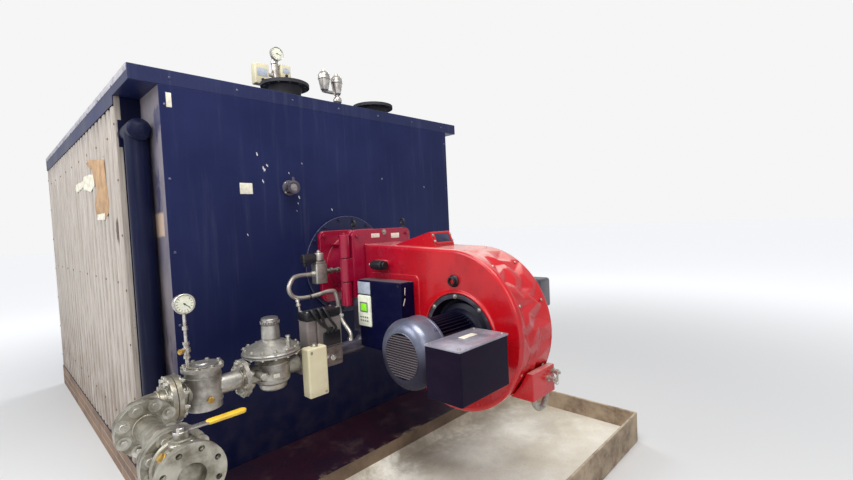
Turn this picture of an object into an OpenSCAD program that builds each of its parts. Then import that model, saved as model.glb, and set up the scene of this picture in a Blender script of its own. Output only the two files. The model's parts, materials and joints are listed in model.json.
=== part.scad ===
// Industrial hot-water boiler with a forced-draught gas burner, on its concrete plinth.
// Millimetres. X runs across the front, Y from the front panel to the rear, Z up.
// The origin is on the floor, below the middle of the front panel.

/* [Boiler body] */
// Width over the corrugated side sheets
body_w = 2460; // [2200:10:2800]
// Length of the main body behind the front box
body_l = 3200; // [2600:10:4200]
// Height of the roof's upper face over the floor
top_z = 2400; // [2200:10:2700]
// Thickness of the roof cap
deck_t = 80; // [50:5:120]
// Height of the flashing below the roof, over the side sheets
flashing_h = 45; // [20:5:100]
// Width of the open recess at each side of the front box
recess_w = 125; // [118:1:200]
// Depth of the front box
box_d = 356; // [300:2:450]
// Thickness of the front box's panels
panel_t = 8; // [5:1:12]

/* [Cladding] */
// Distance from one corrugation to the next
wave_pitch = 114; // [90:2:160]
// Depth of a corrugation
wave_depth = 26; // [15:1:40]
// Thickness of the corrugated sheet
sheet_t = 3; // [2:0.5:5]
// Leg of the corner angles
corner_leg = 60; // [40:5:90]
// Thickness of the corner angles
corner_t = 4; // [3:0.5:8]

/* [Plinth] */
// Height of the plinth
plinth_h = 200; // [150:5:260]
// Distance that the plinth runs on before the front panel
plinth_front = 480; // [350:10:600]
// Distance from the front panel to the front edge of the tray
tray_front = 1494; // [1300:2:1600]
// Thickness of the tray's floor
tray_floor_t = 75; // [50:5:110]
// Thickness of the tray's upstand
rim_t = 14; // [8:1:30]
// Leg of the mortar fillet at the foot of the plinth step
fillet_leg = 45; // [20:5:80]

/* [Downcomers] */
// Clearance between the vertical pipes and the sides of their recess
down_gap = 5.35; // [4:0.05:12]
// Height of the upper header's axis
header_z = 2108; // [1900:4:2180]
// Height of the lower header's axis
footer_z = 380; // [300:10:600]
// Distance from the rear wall of the recess to the axis of the vertical pipes
down_back = 144; // [120:2:200]
// How far the square collar plates stand out round the pipes, above and below
collar_edge = 16; // [10:1:30]

/* [Burner] */
// Height of the burner flange's axis
burner_z = 1286; // [1200:2:1400]
// Diameter of the round door plate
door_d = 664; // [600:2:760]
// Thickness of the round door plate
door_t = 14; // [8:1:24]
// Width of the swing flange
flange_w = 480; // [420:5:540]
// Height of the swing flange
flange_h = 472; // [420:4:540]
// Depth of the swing flange
flange_d = 354; // [300:2:400]
// Diameter of the round neck behind the swing flange
neck_d = 390; // [340:5:420]
// Thickness of the fan housing's own flange
mate_t = 30; // [20:1:40]
// Width of the fan housing
housing_w = 284; // [240:2:330]
// Side shift of the fan housing against the burner axis
housing_x = -12; // [-30:1:30]
// Radius of the fan housing
scroll_r = 411; // [370:1:440]
// Distance from the front panel to the fan housing's centre
scroll_y = 1080; // [1040:2:1120]
// Rise of the duct's upper side towards the burner flange
duct_rise = 29; // [20:1:40]
// How far the duct's sides stand back behind the scroll's
duct_in = 2; // [1:0.5:4]
// Height of the fan housing's centre
scroll_z = 997; // [960:1:1040]

/* [Motor] */
// Distance from the front panel to the motor's axis
motor_y = 1126; // [1100:2:1150]
// Height of the motor's axis
motor_z = 968; // [940:2:990]
// Diameter of the motor's mounting ring
ring_d = 436; // [400:2:480]
// Diameter over the motor's fins
motor_d = 264; // [220:2:290]
// Diameter of the fan cowl
cowl_d = 318; // [290:2:340]
// Length of the fan cowl
cowl_l = 134; // [100:2:160]
// Distance from the burner's middle plane to the end of the cowl
cowl_x = 545; // [500:5:580]
// Count of the motor's cooling fins
fins = 40; // [20:2:60]

/* [Control gear] */
// Length, width and height of the inverter's housing
inverter_l = 326; // [300:2:360]
// Depth of the inverter's housing
inverter_d = 188; // [160:2:230]
// Height of the inverter's housing
inverter_h = 219; // [180:1:250]
// Length of the control box
control_l = 370; // [340:2:420]
// Depth of the control box
control_d = 104; // [80:2:120]
// Height of the control box
control_h = 394; // [360:2:440]

/* [Gas train] */
// Outer diameter of the gas pipe
gas_od = 88.9; // [76.1:0.1:101.6]
// Outer diameter of the gas flanges
gas_flange_d = 200; // [185:5:220]
// Thickness of one gas flange
gas_flange_t = 20; // [16:1:26]
// Thickness of a flange gasket
gasket_t = 3; // [2:1:5]
// Pitch circle of the gas flange's bolts
gas_pcd = 160; // [145:5:180]
// Diameter of the gas flange's bolt holes
gas_hole_d = 18; // [14:1:20]
// Count of the gas flange's bolts
gas_bolts = 8; // [4:4:8]
// Height of the gas train's axis
gas_z = 838; // [800:2:880]
// Distance from the front panel to the gas train's axis
gas_y = 418; // [380:2:418]
// Distance from the burner's middle plane to the inlet run's axis
inlet_x = 1402; // [1380:2:1450]
// Distance from the front panel to the gas inlet's face
inlet_y = 1150; // [1050:5:1250]
// Outer diameter of the gas pipe up to the burner
riser_od = 76.1; // [60.3:0.1:88.9]
// Radius of the gas elbows at their centre line
elbow_r = 95; // [90:1:120]
// Diameter of the regulator's diaphragm housing
regulator_d = 284; // [240:2:300]

/* [Roof fittings] */
// Distance from the front panel to the roof nozzles
nozzle_y = 400; // [380:5:800]
// Outer diameter of the flow and return nozzles
nozzle_od = 219.1; // [168.3:0.1:219.1]
// Diameter of the nozzles' flanges
nozzle_flange_d = 340; // [320:5:360]
// Height of the flow flange's face over the roof
flow_rise = 190; // [150:5:300]
// Height of the return flange's face over the roof
return_rise = 158; // [120:5:300]
// Diameter of the flue outlet on the rear
flue_d = 500; // [400:10:600]
// Height of the flue outlet's axis
flue_z = 1750; // [1500:10:1900]

/* [Hidden] */
eps = 0.3;
body_back = box_d + body_l;
wall_z = top_z - deck_t;
wall_h = wall_z - plinth_h;
plinth_w = body_w + 10;
core_w = body_w - 2*(wave_depth + sheet_t);
box_w = body_w - 2*recess_w;
door_z = burner_z;
hinge_d = 64;
hinge_x = flange_w/2 + hinge_d/2 + 4;
flange_front = door_t + flange_d;
mate_front = flange_front + eps + mate_t;
housing_left = housing_x - housing_w/2;
housing_right = housing_x + housing_w/2;
duct_back_z = scroll_z + scroll_r - 3;
cap_rise = 30;
down_x = box_w/2 + recess_w/2;
down_y = box_d - down_back;
down_od = recess_w - 2*down_gap;
collar_w = down_od + 2*collar_edge;
flow_x = -175;
return_x = body_w/2 - 597;
motor_len = cowl_x - cowl_l + housing_left - 4 - eps;
ring_in_d = ring_d - 48;
ring_depth = 56;
gas_flange_x = 1250;
filter_x = 1120;
regulator_x = 790;
filter_end = 936;
valve_x = 500;
valve_left = valve_x + 155;
valve_right = valve_x - 75;
gas_riser_x = 196;
control_rear = 458;
display_front = 574;
pilot_y = 240;
pilot_foot_x = 304;
control_z = 840;
foot_y = 1490;
foot_z = 700;
flue_l = 160;
sheet_run = body_l - 2*corner_t;
waves = floor(sheet_run/wave_pitch);

navy = [0.13, 0.15, 0.32];
cream = [0.80, 0.78, 0.75];
red = [0.75, 0.08, 0.13];
crimson = [0.70, 0.07, 0.22];
charcoal = [0.18, 0.17, 0.22];
satin = [0.66, 0.66, 0.66];
beige = [0.78, 0.75, 0.62];
concrete = [0.72, 0.69, 0.62];

// A flat rectangle with round corners, centred, made from true arcs
module round_rect(w, h, r) {
    square([w - 2*r, h], center = true);
    square([w, h - 2*r], center = true);
    for (x = [-1, 1], y = [-1, 1])
        translate([x*(w/2 - r), y*(h/2 - r)]) circle(r, $fn = 48);
}

// A round bar from a point along X, Y or Z; a negative length runs the other way
module bar_x(d, l) { translate([min(0, l), 0, 0]) rotate([0, 90, 0]) cylinder(d = d, h = abs(l), $fn = 64); }
module bar_y(d, l) { translate([0, max(0, l), 0]) rotate([90, 0, 0]) cylinder(d = d, h = abs(l), $fn = 64); }
module bar_z(d, l) { translate([0, 0, min(0, l)]) cylinder(d = d, h = abs(l), $fn = 64); }

// A dished pipe end on the XY plane, its crown up
module dished_end(d, rise) {
    crown_r = (d*d/4 + rise*rise)/(2*rise);
    rotate_extrude($fn = 64) intersection() {
        translate([0, rise - crown_r]) circle(crown_r, $fn = 128);
        square([d/2, rise + 1]);
    }
}

// A flange ring with its bolt holes, its axis along Z and its lower face on the XY plane
module flange_ring(d, t, pcd, hole, count, inner = 0) {
    difference() {
        cylinder(d = d, h = t, $fn = 96);
        for (i = [0:count - 1])
            rotate([0, 0, (i + 0.5)*360/count]) translate([pcd/2, 0, -1]) cylinder(d = hole, h = t + 2, $fn = 24);
        if (inner > 0) translate([0, 0, -1]) cylinder(d = inner, h = t + 2, $fn = 64);
    }
}

// Two gas flanges face to face with their gasket, centred on the XY plane
module gas_joint() {
    for (m = [0, 1]) mirror([0, 0, m]) translate([0, 0, gasket_t/2])
        flange_ring(gas_flange_d, gas_flange_t, gas_pcd, gas_hole_d, gas_bolts);
    cylinder(d = gas_pcd - gas_hole_d - 4, h = gasket_t, center = true, $fn = 64);
}

// A quarter bend in the XY plane: it starts at the origin along +X and ends along +Y
module quarter_bend(od, r) {
    translate([0, r, 0]) rotate([0, 0, -90]) rotate_extrude(angle = 90, $fn = 96)
        translate([r, 0]) circle(d = od, $fn = 48);
}

module plinth() {
    color(concrete) translate([-plinth_w/2, -plinth_front, 0])
        cube([plinth_w, plinth_front + body_back, plinth_h]);
}

// Concrete floor of the tray, with the mortar fillet along the plinth's step
module tray_floor() {
    inner_w = plinth_w - 2*rim_t;
    color(concrete) translate([-inner_w/2, -tray_front + rim_t, 0])
        cube([inner_w, tray_front - rim_t - plinth_front, tray_floor_t]);
    color(concrete) translate([-inner_w/2, -plinth_front, tray_floor_t]) rotate([90, 0, 90])
        linear_extrude(inner_w) polygon([[0, 0], [-fillet_leg, 0], [0, fillet_leg]]);
}

// Upstand round the three open sides of the tray
module tray_rim() {
    color([0.30, 0.24, 0.20]) difference() {
        translate([-plinth_w/2, -tray_front, 0]) cube([plinth_w, tray_front - plinth_front, plinth_h]);
        translate([-plinth_w/2 + rim_t, -tray_front + rim_t, -1])
            cube([plinth_w - 2*rim_t, tray_front, plinth_h + 2]);
    }
}

module boiler_casing() {
    color(charcoal) translate([-core_w/2, box_d + panel_t, plinth_h])
        cube([core_w, body_l - 2*panel_t, wall_h]);
}

// Outline of one side sheet in plan: flat crests and troughs joined by short flanks
function wave_line(shift) = [for (i = [0:waves - 1]) for (p = [[0, 0], [0.22, 0], [0.36, 1], [0.86, 1]])
    [(i + p[0])*wave_pitch, p[1]*wave_depth + shift]];
module side_sheet() {
    outer = wave_line(sheet_t);
    inner = wave_line(0);
    linear_extrude(wall_h - 2) polygon(concat(inner, [[waves*wave_pitch, 0], [waves*wave_pitch, sheet_t]],
        [for (i = [len(outer) - 1:-1:0]) outer[i]]));
}
module cladding_left() {
    color(cream) translate([-core_w/2, box_d + (body_l - waves*wave_pitch)/2, plinth_h + 1])
        rotate([0, 0, 90]) side_sheet();
}
module cladding_right() {
    mirror([1, 0, 0]) cladding_left();
}

// Angles over the four upright corners
module corner_flashings() {
    leg_x = wave_depth + sheet_t;
    margin = (body_l - waves*wave_pitch)/2;
    color(cream) for (m = [0, 1], n = [0, 1])
        translate([0, box_d + body_l/2, 0]) mirror([m, 0, 0]) mirror([0, n, 0])
            translate([-body_w/2, -body_l/2, plinth_h]) difference() {
                cube([leg_x, margin - 1, wall_h]);
                translate([corner_t, corner_t, -1]) cube([leg_x, margin, wall_h + 2]);
            }
}

// Front and rear sheets of the main body
module end_walls() {
    color(navy) for (y = [box_d, body_back - panel_t])
        translate([-core_w/2, y, plinth_h]) cube([core_w, panel_t, wall_h]);
}

// Roof cap with a flashing turned down over the sides and the rear
module roof_cap() {
    lip = 6;
    color(navy) translate([-body_w/2 - lip, 0, 0]) union() {
        translate([0, 0, wall_z]) cube([body_w + 2*lip, body_back + lip, deck_t]);
        for (x = [0, body_w + lip + eps])
            translate([x, box_d, wall_z - flashing_h]) cube([lip - eps, body_l + lip, flashing_h]);
        translate([0, body_back + eps, wall_z - flashing_h]) cube([body_w + 2*lip, lip - eps, flashing_h]);
    }
}

// Side sheets and filling of the front box
module front_box() {
    color([0.62, 0.61, 0.66]) translate([-box_w/2 + eps, panel_t, plinth_h])
        cube([box_w - 2*eps, box_d - panel_t, wall_h]);
}

module front_panel() {
    color(navy) translate([-box_w/2, 0, plinth_h]) cube([box_w, panel_t, wall_h]);
}

// One vertical pipe between two short headers that run back into the body
module downcomer() {
    color(navy) translate([-down_x, down_y, 0]) {
        translate([0, 0, footer_z]) bar_z(down_od, header_z - footer_z);
        for (z = [footer_z, header_z]) translate([0, 0, z]) {
            translate([0, -down_od*0.62, 0]) bar_y(down_od, box_d - down_y + down_od*0.62);
            translate([0, -down_od*0.62, 0]) rotate([90, 0, 0]) dished_end(down_od, cap_rise);
        }
    }
}
module downcomers() {
    for (m = [0, 1]) mirror([m, 0, 0]) downcomer();
}

// Square plates round the headers where they enter the body
module header_collars() {
    color(navy) for (m = [0, 1], z = [footer_z, header_z]) mirror([m, 0, 0])
        translate([-down_x, box_d - 40, z]) rotate([90, 0, 0]) linear_extrude(8) difference() {
            square([recess_w - 4, collar_w], center = true);
            circle(d = down_od + 2*eps, $fn = 64);
        }
}

// Sight tube of the combustion chamber, with its cover
module peephole() {
    color(charcoal) translate([-410, 0, 1804]) {
        rotate([90, 0, 0]) cylinder(d = 96, h = 10, $fn = 64);
        translate([0, -10, 0]) rotate([90, 0, 0]) cylinder(d = 70, h = 42, $fn = 64);
        translate([0, -52, 0]) rotate([90, 0, 0]) cylinder(d = 84, h = 14, $fn = 64);
    }
}

module burner_door() {
    color([0.10, 0.11, 0.24]) translate([0, 0, door_z]) rotate([90, 0, 0]) {
        cylinder(d = door_d, h = door_t, $fn = 128);
    }
}

// Cast flange that the fan housing hangs on, with its back plate and gas neck
module swing_flange() {
    back_t = 34;
    color(crimson) translate([0, -door_t, burner_z]) rotate([90, 0, 0]) {
        linear_extrude(back_t) round_rect(flange_w, flange_h, 46);
        translate([0, 0, back_t]) cylinder(d = neck_d, h = flange_d - 2*back_t, $fn = 128);
        translate([0, 0, flange_d - back_t]) linear_extrude(back_t) round_rect(flange_w, flange_h, 40);
    }
}

// Three knuckles and the pin on the left edge of the swing flange
module hinge_pin() {
    hinge_h = 420;
    gap = 6;
    h = (hinge_h - 2*gap)/3;
    color(crimson) translate([-hinge_x, -flange_front, burner_z - hinge_h/2]) {
        for (i = [0:2]) translate([0, 0, i*(h + gap)]) difference() {
            union() {
                cylinder(d = hinge_d, h = h, $fn = 48);
                translate([0, i == 1 ? -mate_t : 0, 0]) cube([hinge_x - flange_w/2 - eps, mate_t, h]);
            }
            translate([0, 0, -1]) cylinder(d = 20 + 2*eps, h = h + 2, $fn = 32);
        }
        translate([0, 0, -12]) cylinder(d = 20, h = hinge_h + 24, $fn = 32);
    }
}

// Two eye bolts over the parting line, one on each flange
module lifting_eyes() {
    color(charcoal) for (p = [[-190, 16], [190, -15]])
        translate([p[0], -flange_front + p[1], burner_z + flange_h/2]) {
            cylinder(d = 22, h = 26, $fn = 32);
            translate([0, 0, 40]) rotate([0, 90, 0]) rotate_extrude($fn = 48)
                translate([17, 0]) circle(d = 10, $fn = 20);
        }
}

// Outline of the fan housing seen from the side: the scroll and its outlet duct
module housing_outline(grow = 0) {
    translate([-scroll_y, scroll_z]) circle(scroll_r + grow, $fn = 160);
    duct_outline(grow);
}
module duct_outline(grow) {
    polygon([[-scroll_y, duct_back_z + grow], [-mate_front, duct_back_z + duct_rise + grow],
        [-mate_front, burner_z - 190], [-scroll_y + scroll_r*0.62, scroll_z - scroll_r*0.3], [-scroll_y, scroll_z]]);
}

// Scroll with pressed edges, and the duct whose long upper edges are pressed too
module fan_housing() {
    edge_r = 18;
    duct_edge_r = 14;
    duct_w = housing_w - 2*duct_in;
    duct_l = scroll_y - mate_front;
    slope = atan2(duct_rise, duct_l);
    mould_h = 2*scroll_r;
    color(red) {
        difference() {
            union() {
                translate([housing_left, -scroll_y, scroll_z]) rotate([0, 90, 0]) rotate_extrude($fn = 160) {
                    square([scroll_r - edge_r, housing_w]);
                    translate([0, edge_r]) square([scroll_r, housing_w - 2*edge_r]);
                    for (h = [edge_r, housing_w - edge_r]) intersection() {
                        translate([scroll_r - edge_r, h]) circle(edge_r, $fn = 48);
                        square([scroll_r + 1, housing_w]);
                    }
                }
                intersection() {
                    translate([housing_left, 0, 0]) rotate([90, 0, 90]) linear_extrude(housing_w)
                        duct_outline(2*duct_rise);
                    translate([housing_x, -scroll_y, duct_back_z]) rotate([slope - 90, 0, 0])
                        translate([0, mould_h/2, -duct_l]) linear_extrude(3*duct_l)
                            round_rect(duct_w, mould_h, duct_edge_r);
                }
            }
            translate([housing_left, -motor_y, motor_z]) rotate([0, 90, 0]) translate([0, 0, -1]) {
                cylinder(d = ring_d, h = 13, $fn = 96);
                cylinder(d = ring_in_d, h = ring_depth + 1, $fn = 96);
            }
        }
        translate([0, -flange_front - eps, burner_z]) rotate([90, 0, 0])
            linear_extrude(mate_t) round_rect(flange_w, flange_h, 40);
    }
}

// Wedge-shaped hood with its steep sight window, on top of the duct
module window_hood() {
    hood_w = 156;
    color(red) translate([housing_x - hood_w/2, 0, 0]) rotate([90, 0, 90]) linear_extrude(hood_w) difference() {
        polygon([[-936, 1390], [-622, 1390], [-622, 1427], [-892, 1495], [-904, 1495], [-936, 1424]]);
        housing_outline(eps);
    }
}

// Bolted ring that carries the motor, sunk in the side of the fan housing
module motor_ring() {
    color(charcoal) translate([housing_left + 12 - eps, -motor_y, motor_z]) rotate([0, -90, 0])
        flange_ring(ring_d - 2*eps, 14, ring_d - 24, 10, 8, ring_in_d);
}

// Finned motor frame
module motor_body() {
    fin_w = 5;
    fin_h = 18;
    core_d = motor_d - 2*fin_h;
    color([0.12, 0.13, 0.22]) translate([housing_left + ring_depth, -motor_y, motor_z]) rotate([0, -90, 0]) {
        cylinder(d = ring_in_d - 40, h = 16, $fn = 96);
        translate([0, 0, 16]) cylinder(d = core_d, h = ring_depth, $fn = 96);
        translate([0, 0, ring_depth + 4]) linear_extrude(motor_len) {
            circle(d = core_d, $fn = 96);
            for (i = [0:fins - 1]) rotate(i*360/fins) translate([core_d/2 - 2, -fin_w/2])
                square([fin_h + 2, fin_w]);
        }
    }
}

// Fan cowl with its slatted grille
module motor_cowl() {
    wall = 4;
    slat = 10;
    grille_d = cowl_d*0.8;
    color([0.27, 0.29, 0.38]) translate([-cowl_x, -motor_y, motor_z]) rotate([0, 90, 0]) difference() {
        rotate_extrude($fn = 96) difference() {
            union() {
                square([cowl_d/2 - 34, cowl_l]);
                translate([0, 34]) square([cowl_d/2, cowl_l - 34]);
                translate([cowl_d/2 - 34, 34]) circle(34, $fn = 64);
            }
            translate([-1, wall + 6]) square([cowl_d/2 - wall - 20, 40]);
            translate([-cowl_d, -1]) square([cowl_d, cowl_l + 2]);
        }
        intersection() {
            translate([0, 0, -1]) cylinder(d = grille_d, h = 12, $fn = 96);
            for (i = [-6:6]) translate([i*slat*1.8 - slat/2, -grille_d/2, -1]) cube([slat, grille_d, 30]);
        }
    }
}

// Frequency converter on the motor's terminal box
module inverter() {
    x0 = -562;
    drop = 132;
    y0 = -motor_y - motor_d/2 - 30;
    color(charcoal) translate([x0, y0 - inverter_d, motor_z - drop]) {
        translate([inverter_l/2, inverter_d/2, 0]) linear_extrude(inverter_h) round_rect(inverter_l, inverter_d, 10);
        difference() {
            translate([170, inverter_d - 1, drop - 50]) cube([inverter_l - 190, 62, 100]);
            translate([0, inverter_d + 30 + motor_d/2, drop]) bar_x(motor_d + 2*eps, inverter_l);
        }
    }
}

module control_box() {
    color([0.08, 0.08, 0.10])
        translate([housing_left - control_d/2 - eps, -control_rear - control_l/2, control_z])
            linear_extrude(control_h) round_rect(control_d, control_l, 8);
}

// Burner management panel with its small screen, and the plate above it
module display_unit() {
    color([0.86, 0.87, 0.80]) translate([housing_left - control_d - 2*eps, 0, 0]) {
        translate([-9, -display_front, control_z + 125]) cube([9, display_front - control_rear, 180]);
        translate([-5, -display_front, control_z + 311]) cube([5, display_front - control_rear, 72]);
    }
}

module flame_sensor() {
    reach = 40 + duct_in;
    color(charcoal) translate([housing_left - 40, -640, burner_z + 29]) {
        bar_y(56, 150);
        translate([0, 40, -20]) cube([reach - eps, 60, 40]);
    }
}

module sight_plug() {
    color(charcoal) translate([housing_left - eps, -1113, 1250]) rotate([0, -90, 0]) {
        cylinder(d = 62, h = 12, $fn = 48);
        translate([0, 0, 12]) cylinder(d = 46, h = 14, $fn = 48);
    }
}

// Air damper's drive box on the right of the fan housing
module intake_box() {
    side = 150;
    color(charcoal) translate([housing_right + eps, -scroll_y - 220, scroll_z + 158]) rotate([90, 0, 90])
        linear_extrude(side) round_rect(200, side, 14);
}

// Low foot of the fan housing with its drain connections
module drain_foot() {
    color(red) difference() {
        translate([housing_x - 60, -foot_y, foot_z]) cube([200, 160, 130]);
        translate([housing_left, -scroll_y, scroll_z]) rotate([0, 90, 0])
            cylinder(r = scroll_r + eps, h = housing_w + 20, $fn = 160);
    }
}

// Flexible hose loop below the drain foot
module hose_loop() {
    color([0.72, 0.72, 0.68]) translate([housing_x + 72, 50 - foot_y, foot_z]) rotate([90, 0, 0]) rotate([0, 0, 180])
        rotate_extrude(angle = 180, $fn = 64) translate([60, 0]) circle(d = 22, $fn = 24);
}

// Inlet run: the inlet flange, the ball valve's body and the flange pair behind it
module gas_inlet_valve() {
    color(satin) translate([-inlet_x, 0, gas_z]) {
        translate([0, -inlet_y, 0]) rotate([-90, 0, 0])
            flange_ring(gas_flange_d, gas_flange_t, gas_pcd, gas_hole_d, gas_bolts, gas_od - 8);
        translate([0, -inlet_y + gas_flange_t, 0]) bar_y(gas_od + 40, 120);
        translate([0, -inlet_y + gas_flange_t + 60, 0]) sphere(d = 150, $fn = 64);
        translate([0, -inlet_y + gas_flange_t + 60, 0]) bar_z(44, 108);
        translate([0, -inlet_y + 140, 0]) rotate([-90, 0, 0])
            flange_ring(gas_flange_d, gas_flange_t, gas_pcd, gas_hole_d, gas_bolts);
        translate([0, -inlet_y + 140 + gas_flange_t + gasket_t, 0]) rotate([-90, 0, 0])
            flange_ring(gas_flange_d, gas_flange_t, gas_pcd, gas_hole_d, gas_bolts);
        translate([0, -inlet_y + 160, 0]) bar_y(gas_od, inlet_y - 160 - 640);
        translate([0, -640, 0]) rotate([90, 0, 0]) gas_joint();
    }
}

// Hand lever on the ball valve's stem
module gas_lever() {
    color([0.85, 0.72, 0.12]) translate([-inlet_x, -inlet_y + gas_flange_t + 60, gas_z + 108 + eps]) {
        linear_extrude(8) {
            circle(d = 46, $fn = 48);
            translate([0, -13]) square([200, 26]);
        }
        translate([0, 0, 8]) cylinder(d = 22, h = 10, $fn = 6);
    }
}

// Bend from the inlet run into the train, with the flange pair after it
module gas_inlet_elbow() {
    color(satin) {
        translate([-inlet_x, -640 + gas_flange_t + gasket_t/2 + eps, gas_z])
            bar_y(gas_od, 640 - gas_flange_t - gasket_t/2 - eps - gas_y - elbow_r);
        translate([-inlet_x + elbow_r, -gas_y, gas_z]) mirror([1, 0, 0]) mirror([0, 1, 0]) quarter_bend(gas_od, elbow_r);
        translate([-inlet_x + elbow_r, -gas_y, gas_z]) bar_x(gas_od, inlet_x - elbow_r - gas_flange_x - gas_flange_t - gasket_t/2);
        translate([-gas_flange_x, -gas_y, gas_z]) rotate([0, 90, 0]) gas_joint();
    }
}

// Gas filter with its top cover and the port of the pressure gauge
module gas_filter() {
    inlet = gas_flange_x - gas_flange_t - gasket_t/2 - eps;
    color(satin) translate([0, -gas_y, gas_z]) {
        translate([-inlet, 0, 0]) bar_x(gas_od, inlet - filter_end - eps);
        translate([-filter_x, 0, 0]) {
            bar_z(150, 96);
            bar_z(150, -80);
            translate([0, 0, 96]) cylinder(d = 176, h = 16, $fn = 64);
        }
        translate([-filter_end - 18 - eps, 0, 0]) rotate([0, 90, 0])
            flange_ring(gas_flange_d - 20, 18, gas_pcd - 15, 14, gas_bolts);
    }
}

// Pressure gauge on its thin riser
module gas_gauge() {
    color(satin) translate([-filter_x - 60, -gas_y, gas_z + 112 + eps]) {
        bar_z(16, 250);
        translate([0, 0, 60]) bar_z(26, 50);
        translate([0, 0, 290]) rotate([90, 0, 0]) translate([0, 0, -20]) cylinder(d = 92, h = 40, $fn = 64);
    }
}

// Spring-loaded regulator: body, diaphragm housing and spring tower
module gas_regulator() {
    rim_r = regulator_d/2;
    color(satin) translate([-regulator_x, -gas_y, 0]) {
        rotate_extrude($fn = 96) translate([0, gas_z]) polygon([[0, -92], [58, -92], [66, -84], [70, -62], [84, -50],
            [84, 44], [66, 62], [rim_r*0.66, 76], [rim_r - 8, 84], [rim_r, 88], [rim_r, 102], [rim_r - 6, 106],
            [rim_r - 6, 116], [rim_r - 14, 120], [62, 150], [46, 156], [42, 262], [36, 268], [0, 268]]);
        translate([regulator_x - filter_end, 0, gas_z]) bar_x(gas_od, filter_end - valve_left - eps);
        translate([regulator_x - filter_end + 46, 0, gas_z + 14]) bar_y(34, -110);
        translate([40, 40 - rim_r, gas_z + 110]) cylinder(d = 22, h = 46, $fn = 32);
    }
}

// Double solenoid valve: body, coil housing and terminal cover
module gas_valve_block() {
    color([0.60, 0.60, 0.60]) translate([-valve_x, -gas_y, 0]) {
        translate([-155, -50, gas_z - 62]) cube([230, 100, 110]);
        translate([-108, -46, gas_z + 48]) cube([212, 92, 164]);
        translate([-114, -50, gas_z + 212]) cube([224, 100, 46]);
    }
}

// Hanging valve drive on the front of the valve block
module gas_actuator() {
    color(beige) translate([-valve_left, -gas_y - 50 - eps - 72, 666]) cube([115, 72, 258]);
}

// Gas pipe from the valve block, with a bend up into the throttle below the fan housing
module gas_riser() {
    bend_r = 80;
    throttle_low = gas_z + bend_r;
    color(charcoal) {
        translate([-valve_right + eps, -gas_y, gas_z]) bar_x(riser_od, valve_right - eps - gas_riser_x - bend_r);
        translate([-gas_riser_x - bend_r, -gas_y, gas_z]) rotate([90, 0, 0]) quarter_bend(riser_od, bend_r);
        difference() {
            translate([-gas_riser_x - 45, -gas_y - riser_od/2, throttle_low]) cube([90, riser_od, 200]);
            translate([-flange_w/2, -mate_front - eps, burner_z - flange_h/2 - eps]) cube([flange_w, 100, 300]);
            translate([housing_left - 1, 0, 0]) rotate([90, 0, 90]) linear_extrude(housing_w) housing_outline(eps);
        }
    }
}

// A round tube through a list of points
module tube_path(points, d) {
    for (i = [0:len(points) - 2]) {
        v = points[i + 1] - points[i];
        translate(points[i]) rotate([0, acos(v[2]/norm(v)), atan2(v[1], v[0])]) cylinder(d = d, h = norm(v), $fn = 24);
        if (i > 0) translate(points[i]) sphere(d = d*1.15, $fn = 32);
    }
}

// Pilot gas valve beside the swing flange, with its bent supply tube
module pilot_valve() {
    case_w = 78;
    case_d = 60;
    case_h = 134;
    x1 = -neck_d/2 - 141;
    x0 = x1 - case_w;
    z0 = burner_z - 74;
    tube_z = z0 + 61;
    loop_x = x0 - 198;
    run_y = -gas_y;
    color(satin) {
        translate([x0, -pilot_y - case_d/2, z0]) cube([case_w, case_d, case_h]);
        translate([x0 + case_w/2, -pilot_y, z0 + case_h]) cylinder(d = 58, h = 66, $fn = 48);
        translate([x0 - 76, -pilot_y - 22, z0 + case_h - 4]) cube([88, 44, 52]);
        translate([x1, -pilot_y, z0 + 68]) bar_x(24, 141 - eps);
        tube_path([[x0, -pilot_y, tube_z], [x0 - 106, -pilot_y - 10, tube_z + 1], [x0 - 164, -pilot_y - 40, tube_z - 11],
            [loop_x, -pilot_y - 60, tube_z - 61], [x0 - 164, -pilot_y - 60, tube_z - 111],
            [x0 - 70, -pilot_y - 60, tube_z - 122], [x0 + 66, -pilot_y - 60, tube_z - 108],
            [x0 + 104, -pilot_y - 64, tube_z - 135], [x0 + 114, -pilot_y - 90, tube_z - 273],
            [-pilot_foot_x, run_y, tube_z - 353], [-pilot_foot_x, run_y, gas_z + riser_od/2 + eps]], 20);
    }
}

// Pipe stub on the roof with a welding-neck flange, its face at the given height
module roof_nozzle(rise) {
    plate_t = 24;
    pcd = nozzle_flange_d - 45;
    color(charcoal) {
        rotate_extrude($fn = 96) polygon([[0, 0], [nozzle_od/2, 0], [nozzle_od/2, rise - plate_t - 38],
            [pcd/2 - 26, rise - plate_t], [0, rise - plate_t]]);
        translate([0, 0, rise - plate_t]) flange_ring(nozzle_flange_d, plate_t, pcd, 22, 12);
        cylinder(d = nozzle_od + 60, h = 6, $fn = 96);
    }
}
module flow_nozzle() {
    translate([flow_x, nozzle_y, top_z]) roof_nozzle(flow_rise);
}
module return_nozzle() {
    translate([return_x, nozzle_y, top_z]) roof_nozzle(return_rise);
}

// A round pressure gauge that looks along -Y, its back at the origin
module gauge_dial(d, depth) {
    rotate([90, 0, 0]) rotate_extrude($fn = 64)
        polygon([[0, 0], [d/2 - 8, 0], [d/2, 8], [d/2, depth], [d/2 - 5, depth], [d/2 - 7, depth - 5], [0, depth - 5]]);
}

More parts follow.
